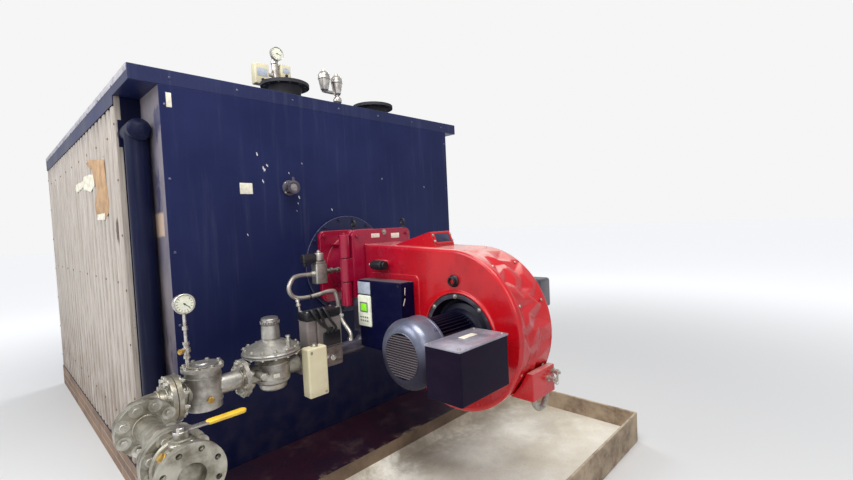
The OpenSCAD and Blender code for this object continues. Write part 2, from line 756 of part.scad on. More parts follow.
// Stand behind the flow nozzle with two limiters and a gauge, and the vent fittings beside it
module instrument_stand() {
    post_x = flow_x + 40;
    post_y = nozzle_y + nozzle_flange_d/2 + 40;
    limiter_z = 225;
    vent_x = flow_x + nozzle_flange_d/2 + 280;
    color(satin) translate([post_x, post_y, top_z]) {
        cylinder(d = 90, h = 8, $fn = 48);
        cylinder(d = 48, h = 470, $fn = 48);
        translate([0, 0, limiter_z + 90]) bar_x(26, -80);
        translate([-178, -40, limiter_z]) cube([110, 66, 150]);
        translate([0, 0, limiter_z + 130]) bar_x(26, 60);
        translate([30, -36, limiter_z + 75]) cube([84, 60, 105]);
        translate([0, 0, 470]) sphere(d = 60, $fn = 48);
        translate([0, -18, 470]) gauge_dial(100, 34);
    }
    color(satin) translate([vent_x, nozzle_y, top_z]) {
        cylinder(d = 64, h = 6, $fn = 48);
        cylinder(d = 34, h = 190, $fn = 48);
        translate([0, 0, 150]) sphere(d = 68, $fn = 48);
        translate([0, 0, 205]) bar_x(26, -130);
        for (p = [[0, 0], [-115, 12]]) translate([p[0], 0, 190 + p[1]]) rotate_extrude($fn = 48)
            polygon([[0, 0], [22, 0], [26, 10], [44, 90], [46, 128], [30, 150], [12, 156], [12, 172], [0, 172]]);
    }
}

module flue_outlet() {
    color(charcoal) translate([0, body_back, flue_z]) rotate([-90, 0, 0]) difference() {
        union() {
            cylinder(d = flue_d, h = flue_l, $fn = 128);
            cylinder(d = flue_d + 90, h = 12, $fn = 128);
            translate([0, 0, flue_l - 12]) cylinder(d = flue_d + 70, h = 12, $fn = 128);
        }
        translate([0, 0, 20]) cylinder(d = flue_d - 12, h = flue_l, $fn = 128);
    }
}

plinth();
tray_floor();
tray_rim();
boiler_casing();
cladding_left();
cladding_right();
corner_flashings();
end_walls();
roof_cap();
front_box();
front_panel();
downcomers();
header_collars();
peephole();
burner_door();
swing_flange();
hinge_pin();
lifting_eyes();
fan_housing();
window_hood();
motor_ring();
motor_body();
motor_cowl();
inverter();
control_box();
display_unit();
flame_sensor();
sight_plug();
intake_box();
drain_foot();
hose_loop();
gas_inlet_valve();
gas_lever();
gas_inlet_elbow();
gas_filter();
gas_gauge();
gas_regulator();
gas_valve_block();
gas_actuator();
gas_riser();
pilot_valve();
flow_nozzle();
return_nozzle();
instrument_stand();
flue_outlet();
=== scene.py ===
"""Industrial boiler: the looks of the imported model, laid out as a Blender add-on and run as a script."""

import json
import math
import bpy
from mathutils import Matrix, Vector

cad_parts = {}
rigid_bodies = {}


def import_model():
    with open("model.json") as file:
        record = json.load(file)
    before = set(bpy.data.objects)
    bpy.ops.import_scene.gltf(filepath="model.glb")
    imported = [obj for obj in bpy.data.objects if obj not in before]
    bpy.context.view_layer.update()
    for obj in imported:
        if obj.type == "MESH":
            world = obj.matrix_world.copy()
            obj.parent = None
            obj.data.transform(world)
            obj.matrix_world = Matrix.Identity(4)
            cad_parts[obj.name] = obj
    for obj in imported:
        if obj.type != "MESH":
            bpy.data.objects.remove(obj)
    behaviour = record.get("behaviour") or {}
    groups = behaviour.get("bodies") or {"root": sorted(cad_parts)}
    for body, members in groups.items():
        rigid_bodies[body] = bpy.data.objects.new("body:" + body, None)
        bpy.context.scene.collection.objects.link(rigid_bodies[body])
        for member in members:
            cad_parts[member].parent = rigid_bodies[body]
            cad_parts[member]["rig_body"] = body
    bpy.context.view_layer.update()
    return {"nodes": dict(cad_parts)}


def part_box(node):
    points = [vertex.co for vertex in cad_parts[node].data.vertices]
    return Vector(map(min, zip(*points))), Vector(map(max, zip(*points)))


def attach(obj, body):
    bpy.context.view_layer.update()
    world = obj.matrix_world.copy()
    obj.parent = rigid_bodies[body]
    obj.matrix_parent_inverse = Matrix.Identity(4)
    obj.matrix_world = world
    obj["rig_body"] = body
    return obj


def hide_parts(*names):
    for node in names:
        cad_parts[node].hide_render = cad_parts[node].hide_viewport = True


bl_info = {
    "name": "Industrial boiler",
    "version": (1, 0, 0),
    "blender": (4, 5, 0),
    "location": "3D View > Sidebar > Boiler",
    "description": "Dresses a boiler with its gas burner, gas train and plinth",
    "category": "Object",
}

import bmesh
import bpy
import numpy as np
from mathutils import Matrix

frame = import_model()

X, Y, Z = np.eye(3)


# Colours and shader maths


def srgb(red, green, blue):
    """A colour given as 0 to 255 on the screen, as the linear colour that shaders take."""
    share = np.array([red, green, blue]) / 255
    linear = np.where(share <= 0.04045, share / 12.92, ((share + 0.055) / 1.055) ** 2.4)
    return (*linear.tolist(), 1.0)


class Value:
    """A socket of a material, with the arithmetic that adds its Math nodes."""

    def __init__(self, finish, socket):
        self.finish, self.socket = finish, socket

    def _math(self, operation, first, second=None):
        return self.finish.node(
            "ShaderNodeMath", {"operation": operation}, {0: first, 1: second}
        )

    def __add__(self, other):
        return self._math("ADD", self, other)

    __radd__ = __add__

    def __sub__(self, other):
        return self._math("SUBTRACT", self, other)

    def __rsub__(self, other):
        return self._math("SUBTRACT", other, self)

    def __mul__(self, other):
        return self._math("MULTIPLY", self, other)

    __rmul__ = __mul__

    def __truediv__(self, other):
        return self._math("DIVIDE", self, other)

    def over(self, other):
        return self._math("MAXIMUM", self, other)

    def under(self, other):
        return self._math("MINIMUM", self, other)

    def wave(self):
        return self._math("SINE", self)

    def size(self):
        return self._math("ABSOLUTE", self)

    def step(self, low, high, start=0.0, end=1.0):
        """0 below low and 1 above high, with a smooth rise between them."""
        return self.finish.node(
            "ShaderNodeMapRange",
            {"interpolation_type": "SMOOTHSTEP", "clamp": True},
            {0: self, 1: low, 2: high, 3: start, 4: end},
        )


class Finish:
    """A material whose nodes are added by one method."""

    def __init__(self, name):
        self.material = bpy.data.materials.new(name)
        self.material.use_nodes = True
        self.tree = self.material.node_tree
        self.surface = self.tree.nodes["Principled BSDF"]
        self.place = self.node("ShaderNodeTexCoord", out="Object")
        self.height = None

    def node(self, kind, settings=None, inputs=None, out=0):
        made = self.tree.nodes.new(kind)
        for key, setting in (settings or {}).items():
            setattr(made, key, setting)
        for key, value in (inputs or {}).items():
            if isinstance(value, Value):
                self.tree.links.new(value.socket, made.inputs[key])
            elif value is not None:
                made.inputs[key].default_value = value
        return Value(self, made.outputs[out])

    def axis(self, letter):
        return self.node("ShaderNodeSeparateXYZ", None, {0: self.place}, out=letter)

    def stretched(self, stretch):
        return self.node(
            "ShaderNodeVectorMath", {"operation": "MULTIPLY"}, {0: self.place, 1: stretch}
        )

    def noise(self, scale, detail=4.0, rough=0.55, stretch=None):
        """Cloudy noise, mostly from 0.3 to 0.7; stretch scales it along X, Y and Z."""
        place = self.stretched(stretch) if stretch else self.place
        return self.node(
            "ShaderNodeTexNoise",
            None,
            {"Vector": place, "Scale": scale, "Detail": detail, "Roughness": rough},
        )

    def cells(self, scale, feature="F1", stretch=None):
        place = self.stretched(stretch) if stretch else self.place
        return self.node(
            "ShaderNodeTexVoronoi", {"feature": feature}, {"Vector": place, "Scale": scale}
        )

    def mix(self, first, second, amount):
        return self.node(
            "ShaderNodeMix",
            {"data_type": "RGBA", "clamp_factor": True},
            {0: amount, 6: first, 7: second},
            out=2,
        )

    def facing_up(self, low=0.75, high=0.98):
        """1 where the surface faces up and 0 where it is steep."""
        out = self.node("ShaderNodeNewGeometry", out="Normal")
        return self.node("ShaderNodeSeparateXYZ", None, {0: out}, out="Z").step(low, high)

    def bump(self, height, depth, strength=1.0):
        """Adds a relief of that depth in metres to the surface."""
        self.height = self.node(
            "ShaderNodeBump",
            None,
            {"Strength": strength, "Distance": depth, "Height": height, "Normal": self.height},
        )

    def done(self, colour, rough=0.5, metal=0.0, coat=0.0, coat_rough=0.1, glow=None):
        sockets = {"Base Color": colour, "Roughness": rough, "Metallic": metal, "Coat Weight": coat}
        for name, value in sockets.items():
            if isinstance(value, Value):
                self.tree.links.new(value.socket, self.surface.inputs[name])
            else:
                self.surface.inputs[name].default_value = value
        self.surface.inputs["Coat Roughness"].default_value = coat_rough
        if self.height:
            self.tree.links.new(self.height.socket, self.surface.inputs["Normal"])
        if glow:
            self.surface.inputs["Emission Color"].default_value = glow
            self.surface.inputs["Emission Strength"].default_value = 0.25
        return self.material


# Materials


def panel_paint(name, colour, streaks=0.5, chips=(), sheen=0.14, foot=0.8):
    """Old satin paint on sheet steel: faint clouds, rain streaks, a deeper navy towards its foot that is painted shade,
    scuffs and the chips that are named by their (x, z) places, each a tall pale fleck with a ragged rim."""
    f = Finish(name)
    cloud = f.noise(1.7, 5)
    streak = f.noise(3.0, 6, 0.7, stretch=(6, 6, 0.35)).step(0.5, 0.72)
    dust_and_highlight = f.axis("Z").step(0.9, 0.2) * f.noise(9, 6).step(0.35, 0.75)
    scuff = f.noise(34, 5, 0.75, stretch=(1, 1, 0.22)).step(0.70, 0.73) * f.noise(2.2, 3).step(0.56, 0.60)
    tone = f.mix(colour, [c * 1.35 + 0.003 for c in colour[:3]] + [1], cloud.step(0.3, 0.8))
    tone = f.mix(tone, srgb(84, 86, 110), streak * streaks * 0.3)
    # Painted shade: towards the foot the paint turns to a deeper, bluer copy of its colour, as if the lower panel lay
    # in shade
    shaded_tone = [c * share for c, share in zip(colour, (0.2, 0.26, 0.46))] + [1]
    tone = f.mix(tone, shaded_tone, f.axis("Z").step(1.75, 0.4) * foot)
    tone = f.mix(tone, srgb(96, 84, 86), dust_and_highlight * 0.16)
    fleck = scuff * 0.5
    if chips:
        x, z = f.axis("X"), f.axis("Z")
        torn = f.noise(75, 4, 0.7).step(0.3, 0.7, 0.35, 2.3)
        for at_x, at_z, size in chips:
            across, down = x - at_x, z - at_z
            leant = across + down * 0.35
            reach = (leant * leant * 5.0 + down * down * 0.8) * torn
            fleck = fleck.over(reach.step(size * size * 1.1, size * size * 0.75))
    tone = f.mix(tone, srgb(196, 194, 200), fleck)
    f.bump(f.noise(1.1, 2), 0.02, 0.5)
    f.bump(f.noise(90, 3), 0.0004, 0.4)
    f.bump(fleck * -1.0, 0.0012)
    f.surface.inputs["Specular IOR Level"].default_value = sheen
    return f.done(tone, cloud.step(0.2, 0.9, 0.34, 0.5) + fleck * 0.2 + dust_and_highlight * 0.25, 0.0, 0.0, 0.25)


def cladding_sheet(name, groove_shade_amount=0.0):
    """Pale lilac-cream coated sheet with long dirt runs, rust freckles and a grimy foot, with painted shadow under the
    roof's overhang and painted shade in the hollows of its ribs."""
    f = Finish(name)
    run = f.noise(2.2, 7, 0.65, stretch=(9, 9, 0.25)).step(0.42, 0.7)
    fine = f.noise(40, 4, 0.6, stretch=(3, 3, 0.12))
    foot = f.axis("Z").step(1.1, 0.2) * f.noise(6, 6).step(0.25, 0.65)
    rust = f.cells(34).step(0.16, 0.08) * f.noise(1.9, 4).step(0.56, 0.66)
    tone = f.mix(srgb(200, 191, 181), srgb(170, 160, 151), fine.step(0.35, 0.65))
    tone = f.mix(tone, srgb(150, 138, 128), run * 0.45)
    # Painted shade: the hollows between the crests turn brown-grey, standing in for the shade between the ribs
    groove_shade = f.axis("X").size().step(1.226, 1.208) * f.noise(5, 4).step(0.2, 0.5, 0.6, 1.0)
    tone = f.mix(tone, srgb(98, 84, 78), groove_shade * groove_shade_amount)
    # Painted shadow: the top of the sheet under the roof's overhang is darkened in streaks
    eaves_shadow = f.axis("Z").step(2.12, 2.33) * f.noise(9, 6, 0.6, stretch=(2, 2, 0.3)).step(0.35, 0.6)
    tone = f.mix(tone, srgb(104, 94, 92), eaves_shadow * 0.6)
    tone = f.mix(tone, srgb(120, 98, 80), foot * 0.65)
    tone = f.mix(tone, srgb(96, 58, 38), rust * 0.8)
    y, z = f.axis("Y"), f.axis("Z")
    tear = ((y - 0.50).size() * 3.2 + (z - 1.585).size() + f.noise(28, 5) * 0.09).step(0.175, 0.12)
    tone = f.mix(tone, srgb(78, 58, 48), tear * 0.85)
    f.bump(f.noise(3.5, 3), 0.006, 0.4)
    f.bump(fine, 0.0006, 0.4)
    return f.done(tone, fine.step(0.2, 0.8, 0.38, 0.58) + rust * 0.3, 0.15)


def worn_side(name):
    """Lilac-grey primer with the navy coat left in patches, a patch rubbed down to tan filler, and
    scuffs."""
    f = Finish(name)
    cloud = f.noise(2.6, 6)
    tone = f.mix(srgb(136, 128, 132), srgb(98, 94, 108), cloud.step(0.3, 0.7))
    kept = f.noise(6.5, 7, 0.68, stretch=(1, 1, 0.45)).step(0.55, 0.6)
    tone = f.mix(tone, srgb(48, 50, 88), kept * 0.75)
    y, z = f.axis("Y"), f.axis("Z")
    rough = f.noise(20, 5) * 0.03
    patch = ((y - 0.14).size().step(0.085, 0.07) * ((z - 1.60).size() + rough).step(0.085, 0.07))
    tone = f.mix(tone, srgb(196, 170, 150), patch * 0.9)
    scuff = f.noise(34, 5, 0.75, stretch=(1, 1, 0.22)).step(0.68, 0.71)
    tone = f.mix(tone, srgb(206, 202, 204), scuff * 0.6)
    tone = f.mix(tone, srgb(84, 72, 72), z.step(1.6, 0.6) * 0.55)
    f.bump(cloud, 0.003, 0.4)
    f.bump(kept, 0.0006)
    return f.done(tone, 0.55 - kept * 0.15)


def gloss_enamel(name, colour, dark, grime=0.35, mount=None, dust_and_highlight=0.5):
    """Gloss enamel on castings and pressings, with grime, fine scratches and a pale pink painted highlight on what
    faces up; towards the boiler it turns to the mount's colour, where that is given, a painted tint that stands in for
    the bluish window light."""
    f = Finish(name)
    # Painted light: the shift to the mount's crimson towards the boiler stands in for the bluish window light falling
    # on that end
    if mount:
        colour = f.mix(colour, mount, f.axis("Y").step(-0.98, -0.42))
    cloud = f.noise(4.2, 5)
    grit = f.noise(17, 7, 0.65).step(0.5, 0.75)
    scratch = f.noise(26, 6, 0.8, stretch=(1, 7, 1)).step(0.66, 0.72) * f.noise(5, 3).step(0.5, 0.62)
    tone = f.mix(colour, dark, cloud.step(0.35, 0.75) * 0.55)
    tone = f.mix(tone, srgb(70, 22, 26), grit * grime)
    tone = f.mix(tone, srgb(226, 120, 120), scratch * 0.35)
    # Painted highlight: pale pink on upward faces, strongest away from the boiler, stands in for the skylight's
    # reflection
    top_highlight = f.facing_up(0.72, 0.97) * f.noise(13, 6, 0.65).step(0.25, 0.62, 0.55, 1.0)
    top_highlight = top_highlight * f.axis("Y").step(-0.78, -1.0, 0.35, 1.0)
    tone = f.mix(tone, srgb(240, 206, 196), top_highlight * dust_and_highlight)
    f.bump(cloud, 0.006, 0.35)
    f.bump(f.noise(160, 2), 0.0003, 0.5)
    f.surface.inputs["Specular IOR Level"].default_value = 0.4
    return f.done(tone, grit.step(0, 1, 0.24, 0.45), 0.0, 0.3, 0.08)


def cast_metal(name, bright, dull, rust=0.25, metal=0.75, rough=0.42, grain=1.0):
    """Bare or aluminium-painted castings and flanges: sandy skin, oil and rust in places."""
    f = Finish(name)
    cloud = f.noise(14, 6, 0.6)
    stain = f.noise(5.5, 5).step(0.5, 0.7) * f.noise(34, 5).step(0.35, 0.7)
    tone = f.mix(bright, dull, cloud.step(0.32, 0.7))
    tone = f.mix(tone, srgb(112, 84, 62), stain * rust)
    f.bump(f.noise(210, 3), 0.0007 * grain, 0.6)
    f.bump(cloud, 0.0012 * grain, 0.5)
    return f.done(tone, cloud.step(0.2, 0.8, rough - 0.1, rough + 0.18) + stain * 0.2, metal)


def dark_housing(name, colour, pale, rough=0.42, coat=0.1, sheen=0.4, top=None):
    """Moulded plastic or powder coat: even grain, greasy wipe marks and pale dust, with a painted highlight in another
    colour on what faces up, where that is given."""
    f = Finish(name)
    wipe = f.noise(6, 6, 0.65, stretch=(1, 1, 2.4)).step(0.45, 0.72)
    dust_and_highlight = f.noise(28, 5).step(0.52, 0.78)
    tone = f.mix(colour, pale, wipe * 0.35 + dust_and_highlight * 0.18)
    # Painted highlight: the top colour on upward faces stands in for light falling from above
    if top:
        tone = f.mix(tone, top, f.facing_up() * f.noise(8, 5).step(0.2, 0.6, 0.6, 1.0))
    f.bump(f.noise(420, 2), 0.0002, 0.6)
    f.surface.inputs["Specular IOR Level"].default_value = sheen
    return f.done(tone, wipe.step(0, 1, rough, rough + 0.15), 0.0, coat, 0.2)


def pressed_cowl(name, axis_z):
    """Grey enamel on a pressed steel cap: glossy on top, with painted shade that darkens it towards the bottom."""
    f = Finish(name)
    cloud = f.noise(9, 5)
    wipe = f.noise(5, 6, 0.65, stretch=(3, 1, 1)).step(0.45, 0.72)
    tone = f.mix(srgb(124, 127, 143), srgb(96, 99, 117), cloud.step(0.3, 0.7))
    # Painted shade: below the axis the grey turns near black, and the pale flecks are kept to the upper part by the
    # same mask
    low = f.axis("Z").step(axis_z + 0.105, axis_z - 0.045)
    tone = f.mix(tone, srgb(24, 19, 34), low * 0.9 + wipe * low * 0.1)
    tone = f.mix(tone, srgb(180, 182, 192), f.noise(46, 5, 0.7).step(0.66, 0.72) * (1.0 - low) * 0.35)
    f.bump(f.noise(3.5, 2), 0.004, 0.4)
    f.bump(f.noise(300, 2), 0.0002, 0.5)
    f.surface.inputs["Specular IOR Level"].default_value = 0.1
    return f.done(tone, cloud.step(0.2, 0.8, 0.26, 0.36) + low * 0.3, 0.6 - low * 0.6)


def concrete_floor(name):
    """Pale trowelled concrete with wet-looking stains, scuffs and darker edges."""
    f = Finish(name)
    cloud = f.noise(2.3, 8, 0.6)
    stain = f.noise(1.25, 6, 0.6).step(0.47, 0.66)
    speck = f.noise(75, 5, 0.7)
    scuff = f.noise(10, 7, 0.75, stretch=(0.5, 1.6, 1)).step(0.6, 0.75)
    tone = f.mix(srgb(252, 249, 238), srgb(218, 209, 190), cloud.step(0.3, 0.72))
    rear = f.axis("Y").step(-0.95, -0.5, 0.0, 1.0).over(f.axis("X").step(0.1, -0.9, 0.0, 0.8))
    tone = f.mix(tone, srgb(122, 108, 92), rear * f.noise(3.4, 7, 0.7).step(0.30, 0.62) * 0.8)
    tone = f.mix(tone, srgb(132, 118, 100), stain * 0.42)
    tone = f.mix(tone, srgb(232, 228, 216), scuff * 0.5)
    tone = f.mix(tone, srgb(120, 108, 94), speck.step(0.56, 0.72) * 0.28)
    f.bump(speck, 0.0025, 0.6)
    f.bump(cloud, 0.008, 0.5)
    return f.done(tone, stain.step(0, 1, 0.85, 0.55))


def painted_plinth(name, top_z, front_y):
    """Plinth: red oxide floor paint on top, darkened to maroon as painted shade, brown-grey step in front, brick
    courses on its sides.
    """
    f = Finish(name)
    x, y, z = (f.axis(letter) for letter in "XYZ")
    cloud = f.noise(3.1, 7, 0.62)
    along = f.node("ShaderNodeCombineXYZ", None, {0: x + y, 1: z})
    course = f.node(
        "ShaderNodeTexBrick",
        {"offset": 0.5},
        {
            "Vector": along,
            "Color1": srgb(152, 122, 100),
            "Color2": srgb(122, 96, 80),
            "Mortar": srgb(168, 156, 140),
            "Scale": 1.0,
            "Mortar Size": 0.006,
            "Mortar Smooth": 0.2,
            "Brick Width": 0.25,
            "Row Height": 0.067,
        },
    )
    mortar = f.node(
        "ShaderNodeTexBrick",
        {"offset": 0.5},
        {
            "Vector": along,
            "Scale": 1.0,
            "Mortar Size": 0.006,
            "Mortar Smooth": 0.2,
            "Brick Width": 0.25,
            "Row Height": 0.067,
        },
        out="Fac",
    )
    side = x.size().step(1.228, 1.233).over(y.step(3.548, 3.553))
    top = z.step(top_z - 0.004, top_z - 0.001)
    wear = f.noise(5, 7, 0.7).step(0.5, 0.68)
    step = f.mix(srgb(132, 112, 92), srgb(88, 72, 60), cloud.step(0.35, 0.7))
    tone = f.mix(step, course, side)
    tone = f.mix(tone, srgb(96, 82, 72), side * cloud.step(0.45, 0.7) * 0.6)
    # Painted shade: the top's dark maroon is red oxide paint darkened as if in the burner's shadow
    cover = f.mix(srgb(44, 10, 26), srgb(26, 12, 30), cloud.step(0.3, 0.7))
    cover = f.mix(cover, srgb(112, 88, 80), wear * 0.22)
    cover = f.mix(cover, srgb(150, 132, 112), y.step(front_y + 0.05, front_y) * wear)
    tone = f.mix(tone, cover, top)
    f.bump(mortar * side * -1.0, 0.004)
    f.bump(f.noise(60, 6, 0.7), 0.003, 0.6)
    return f.done(tone, 0.82 - top * 0.38)


def rough_rim(name):
    """Brown render on the tray's upstand, rubbed pale along its top."""
    f = Finish(name)
    cloud = f.noise(7, 8, 0.66)
    top = f.axis("Z").step(0.19, 0.199)
    tone = f.mix(srgb(178, 160, 136), srgb(124, 106, 90), cloud.step(0.35, 0.68))
    tone = f.mix(tone, srgb(174, 154, 130), f.noise(22, 6).step(0.55, 0.7) * 0.5)
    tone = f.mix(tone, srgb(196, 180, 156), top * f.noise(12, 5).step(0.35, 0.6))
    f.bump(f.noise(45, 6, 0.7), 0.004, 0.7)
    return f.done(tone, 0.86)


def plain_finish(name, colour, second, scale=20, rough=0.5, metal=0.0, coat=0.0, grain=0.0004, glow=None):
    """A small part's finish: two close tones in fine clouds and a fine grain."""
    f = Finish(name)
    cloud = f.noise(scale, 5, 0.6)
    tone = f.mix(colour, second, cloud.step(0.35, 0.7))
    f.bump(f.noise(scale * 12, 3), grain, 0.6)
    return f.done(tone, cloud.step(0.2, 0.8, rough - 0.06, rough + 0.1), metal, coat, 0.15, glow)


def finishes():
    """Every finish of the object, by the name that the pieces use."""
    looks = bpy.context.scene.boiler_case
    burner = bpy.context.scene.boiler_burner
    navy = (*looks.panel_colour, 1)
    red = (*burner.housing_colour, 1)
    return {
        "panel": panel_paint("navy panel paint", navy, 0.5, PANEL_CHIPS),
        "door": panel_paint("navy door paint", [c * 0.8 for c in navy[:3]] + [1], 0.3, (), 0.35, 0),
        # Painted shade: a darker copy of the panel navy for the downcomers, collar plates, end walls and rear seams
        "recess": panel_paint("navy recess paint", [c * 0.45 for c in navy[:3]] + [1], 0.5, (), 0.12),
        "cladding": cladding_sheet("cream cladding", 0.85),
        "flashing": cladding_sheet("cream flashing"),
        "roof": panel_paint("navy roof paint", navy, 0.9, (), 0.3, 0),
        "worn_paint": plain_finish("worn screw heads", srgb(96, 96, 122), srgb(40, 42, 80), 60, 0.45, 0.2),
        "rusty": plain_finish("rusty screws", srgb(120, 78, 52), srgb(76, 52, 40), 60, 0.7, 0.3),
        "coil_grey": dark_housing("coil housing", srgb(112, 104, 102), srgb(150, 143, 140), 0.5, 0.05),
        "side_grey": worn_side("lilac grey side"),
        "trim": plain_finish("roof trim", srgb(176, 172, 176), srgb(138, 134, 142), 14, 0.5, grain=0.0008),
        "core": plain_finish("dark core", srgb(40, 40, 46), srgb(26, 26, 32), 9, 0.7),
        "red": gloss_enamel("red enamel", red, srgb(148, 8, 22), 0.16, srgb(152, 12, 44), 0.55),
        "crimson": gloss_enamel("crimson enamel", srgb(152, 12, 50), srgb(112, 8, 40), 0.3),
        "concrete": concrete_floor("tray concrete"),
        "plinth": painted_plinth("painted plinth", 0.2, -0.48),
        "rim": rough_rim("tray rim render"),
        "black": dark_housing("black housing", srgb(18, 18, 24), srgb(66, 66, 78)),
        # The control case's brownish top is a painted highlight on its upward faces
        "control": dark_housing("navy black control case", srgb(4, 6, 42), srgb(26, 26, 56), 0.46, 0.0, 0.1,
                                srgb(92, 78, 82)),
        "charcoal": dark_housing("charcoal powder coat", srgb(46, 42, 54), srgb(120, 118, 134), 0.34, 0.3),
        "inverter": dark_housing("inverter case", srgb(17, 8, 30), srgb(42, 30, 46), 0.45, 0.0, 0.08),
        "lid_grey": dark_housing("inverter lid", srgb(124, 121, 134), srgb(206, 208, 218), 0.32, 0.3),
        "cowl": pressed_cowl("pressed cowl", 0.968),
        "slats": dark_housing("cowl slats", srgb(84, 76, 82), srgb(112, 104, 106), 0.45, 0.05, 0.3),
        "motor": dark_housing("motor frame", srgb(9, 8, 30), srgb(34, 34, 56), 0.42, 0.0, 0.25),
        "bowl": dark_housing("motor seat", srgb(12, 11, 30), srgb(30, 30, 50), 0.5, 0.0, 0.2),
        "alloy": cast_metal("cast alloy", srgb(188, 185, 178), srgb(128, 125, 118), 0.35, 0.8, 0.38),
        "flange": cast_metal("flange steel", srgb(180, 176, 164), srgb(112, 106, 92), 0.7, 0.85, 0.36),
        "dull_body": cast_metal("brown-grey casting", srgb(124, 114, 110), srgb(82, 72, 72), 0.5, 0.55, 0.5),
        "tower": cast_metal("spring housing", srgb(130, 127, 126), srgb(98, 95, 95), 0.2, 0.7, 0.36, 0.3),
        "zinc": cast_metal("zinc-plated bolts", srgb(206, 204, 196), srgb(150, 146, 136), 0.35, 0.9, 0.32),
        "brass": plain_finish("brass", srgb(206, 172, 96), srgb(150, 112, 52), 40, 0.32, 0.9),
        "steel": plain_finish("steel tube", srgb(206, 202, 196), srgb(156, 150, 144), 30, 0.26, 0.95),
        "satin": plain_finish("satin tube", srgb(190, 184, 176), srgb(142, 136, 130), 14, 0.36, 0.7, grain=0.0001),
        "beige": dark_housing("beige plastic", srgb(206, 198, 166), srgb(224, 217, 190), 0.45, 0.1),
        "cream": plain_finish("cream plastic", srgb(232, 234, 214), srgb(212, 214, 196), 26, 0.38, coat=0.2),
        "label": plain_finish("blank label", srgb(226, 222, 206), srgb(206, 200, 182), 60, 0.45),
        "grey_plate": plain_finish("grey plate", srgb(176, 184, 196), srgb(150, 158, 172), 40, 0.36, coat=0.2),
        "key": plain_finish("grey keys", srgb(120, 126, 124), srgb(96, 100, 98), 60, 0.5),
        "screen": plain_finish("green screen", srgb(150, 230, 60), srgb(120, 206, 40), 60, 0.3, glow=srgb(120, 220, 30)),
        "yellow": plain_finish("yellow lever", srgb(226, 186, 44), srgb(190, 148, 30), 24, 0.4, coat=0.3),
        "rubber": plain_finish("dark rubber", srgb(30, 30, 34), srgb(48, 48, 54), 40, 0.6),
        "hose": plain_finish("braided hose", srgb(176, 172, 162), srgb(132, 128, 118), 90, 0.45, 0.4, grain=0.002),
        "paper": plain_finish("tan paper", srgb(184, 150, 114), srgb(156, 122, 90), 12, 0.85, grain=0.001),
        "wool": plain_finish("torn white lining", srgb(232, 228, 214), srgb(204, 196, 172), 30, 0.9, grain=0.003),
        "glass": plain_finish("dark window", srgb(14, 16, 46), srgb(44, 44, 78), 8, 0.12, coat=0.15),
        "lens": plain_finish("dusty sight glass", srgb(140, 132, 132), srgb(104, 98, 104), 30, 0.35, coat=0.2),
    }


FINISH = {}

# Chips on the front panel: place along X and Z, and half width, in metres
PANEL_CHIPS = (
    (-0.605, 2.002, 0.010), (-0.567, 1.915, 0.016), (-0.545, 1.936, 0.010), (-0.578, 1.842, 0.012),
    (-0.405, 1.898, 0.007), (-0.344, 1.748, 0.009), (-0.354, 1.710, 0.006), (-0.364, 1.659, 0.005),
    (-0.309, 1.961, 0.005), (-0.101, 1.662, 0.008), (0.358, 1.890, 0.006), (0.808, 1.841, 0.007),
    (-0.690, 1.523, 0.007),
)


# Surfaces


def unit(vector):
    vector = np.asarray(vector, float)
    return vector / np.linalg.norm(vector, axis=-1, keepdims=True)


def strip(rows, round_rows=False, round_each=False, ends=False):
    """Quads between neighbouring rows of points; rows is an array (row, point, 3).
    Each row may close on itself, the last row may join the first, and the end rows may be capped."""
    rows = np.asarray(rows, float)
    count, length = rows.shape[:2]
    index = np.arange(count * length).reshape(count, length)
    if round_rows:
        index = np.vstack([index, index[:1]])
    if round_each:
        index = np.hstack([index, index[:, :1]])
    quads = np.stack([index[:-1, :-1], index[:-1, 1:], index[1:, 1:], index[1:, :-1]], -1)
    faces = quads.reshape(-1, 4).tolist()
    if ends:
        faces += [list(range(length))[::-1], list(range((count - 1) * length, count * length))]
    return rows.reshape(-1, 3), faces


def joined(*shapes):
    """Several surfaces as one."""
    points, faces, start = [], [], 0
    for some, its_faces in shapes:
        points.append(np.asarray(some, float))
        faces += [[i + start for i in face] for face in its_faces]
        start += len(some)
    return np.vstack(points), faces


def basis(axis):
    """Two unit vectors square to the axis and to each other."""
    axis = unit(axis)
    side = unit(np.cross(axis, Z if abs(axis[2]) < 0.9 else X))
    return side, np.cross(axis, side)


def turned(profile, base, axis, count=48):
    """Surface of revolution: each (radius, height) goes round the axis through the base point."""
    profile = np.asarray(profile, float)
    side, other = basis(axis)
    angle = np.linspace(0, 2 * math.pi, count, endpoint=False)
    ring = np.outer(np.cos(angle), side) + np.outer(np.sin(angle), other)
    rows = (
        np.asarray(base, float)
        + profile[:, 1, None, None] * unit(axis)
        + profile[:, 0, None, None] * ring
    )
    return strip(rows, round_each=True, ends=True)


def rounded_turn(profile, base, axis, count=48, soft=0.003):
    """A turned surface whose profile corners are cut by two short chamfers."""
    profile = np.asarray(profile, float)
    before, after = profile[:-2], profile[2:]
    middle = profile[1:-1]
    length_a = np.linalg.norm(before - middle, axis=1, keepdims=True)
    length_b = np.linalg.norm(after - middle, axis=1, keepdims=True)
    cut_a = np.minimum(soft, length_a * 0.45) / np.maximum(length_a, 1e-9)
    cut_b = np.minimum(soft, length_b * 0.45) / np.maximum(length_b, 1e-9)
    near, far = middle + (before - middle) * cut_a, middle + (after - middle) * cut_b
    bulge = (near + far + 2 * middle) / 4
    inner = np.stack([near, bulge, far], 1).reshape(-1, 2)
    return turned(np.vstack([profile[:1], inner, profile[-1:]]), base, axis, count)


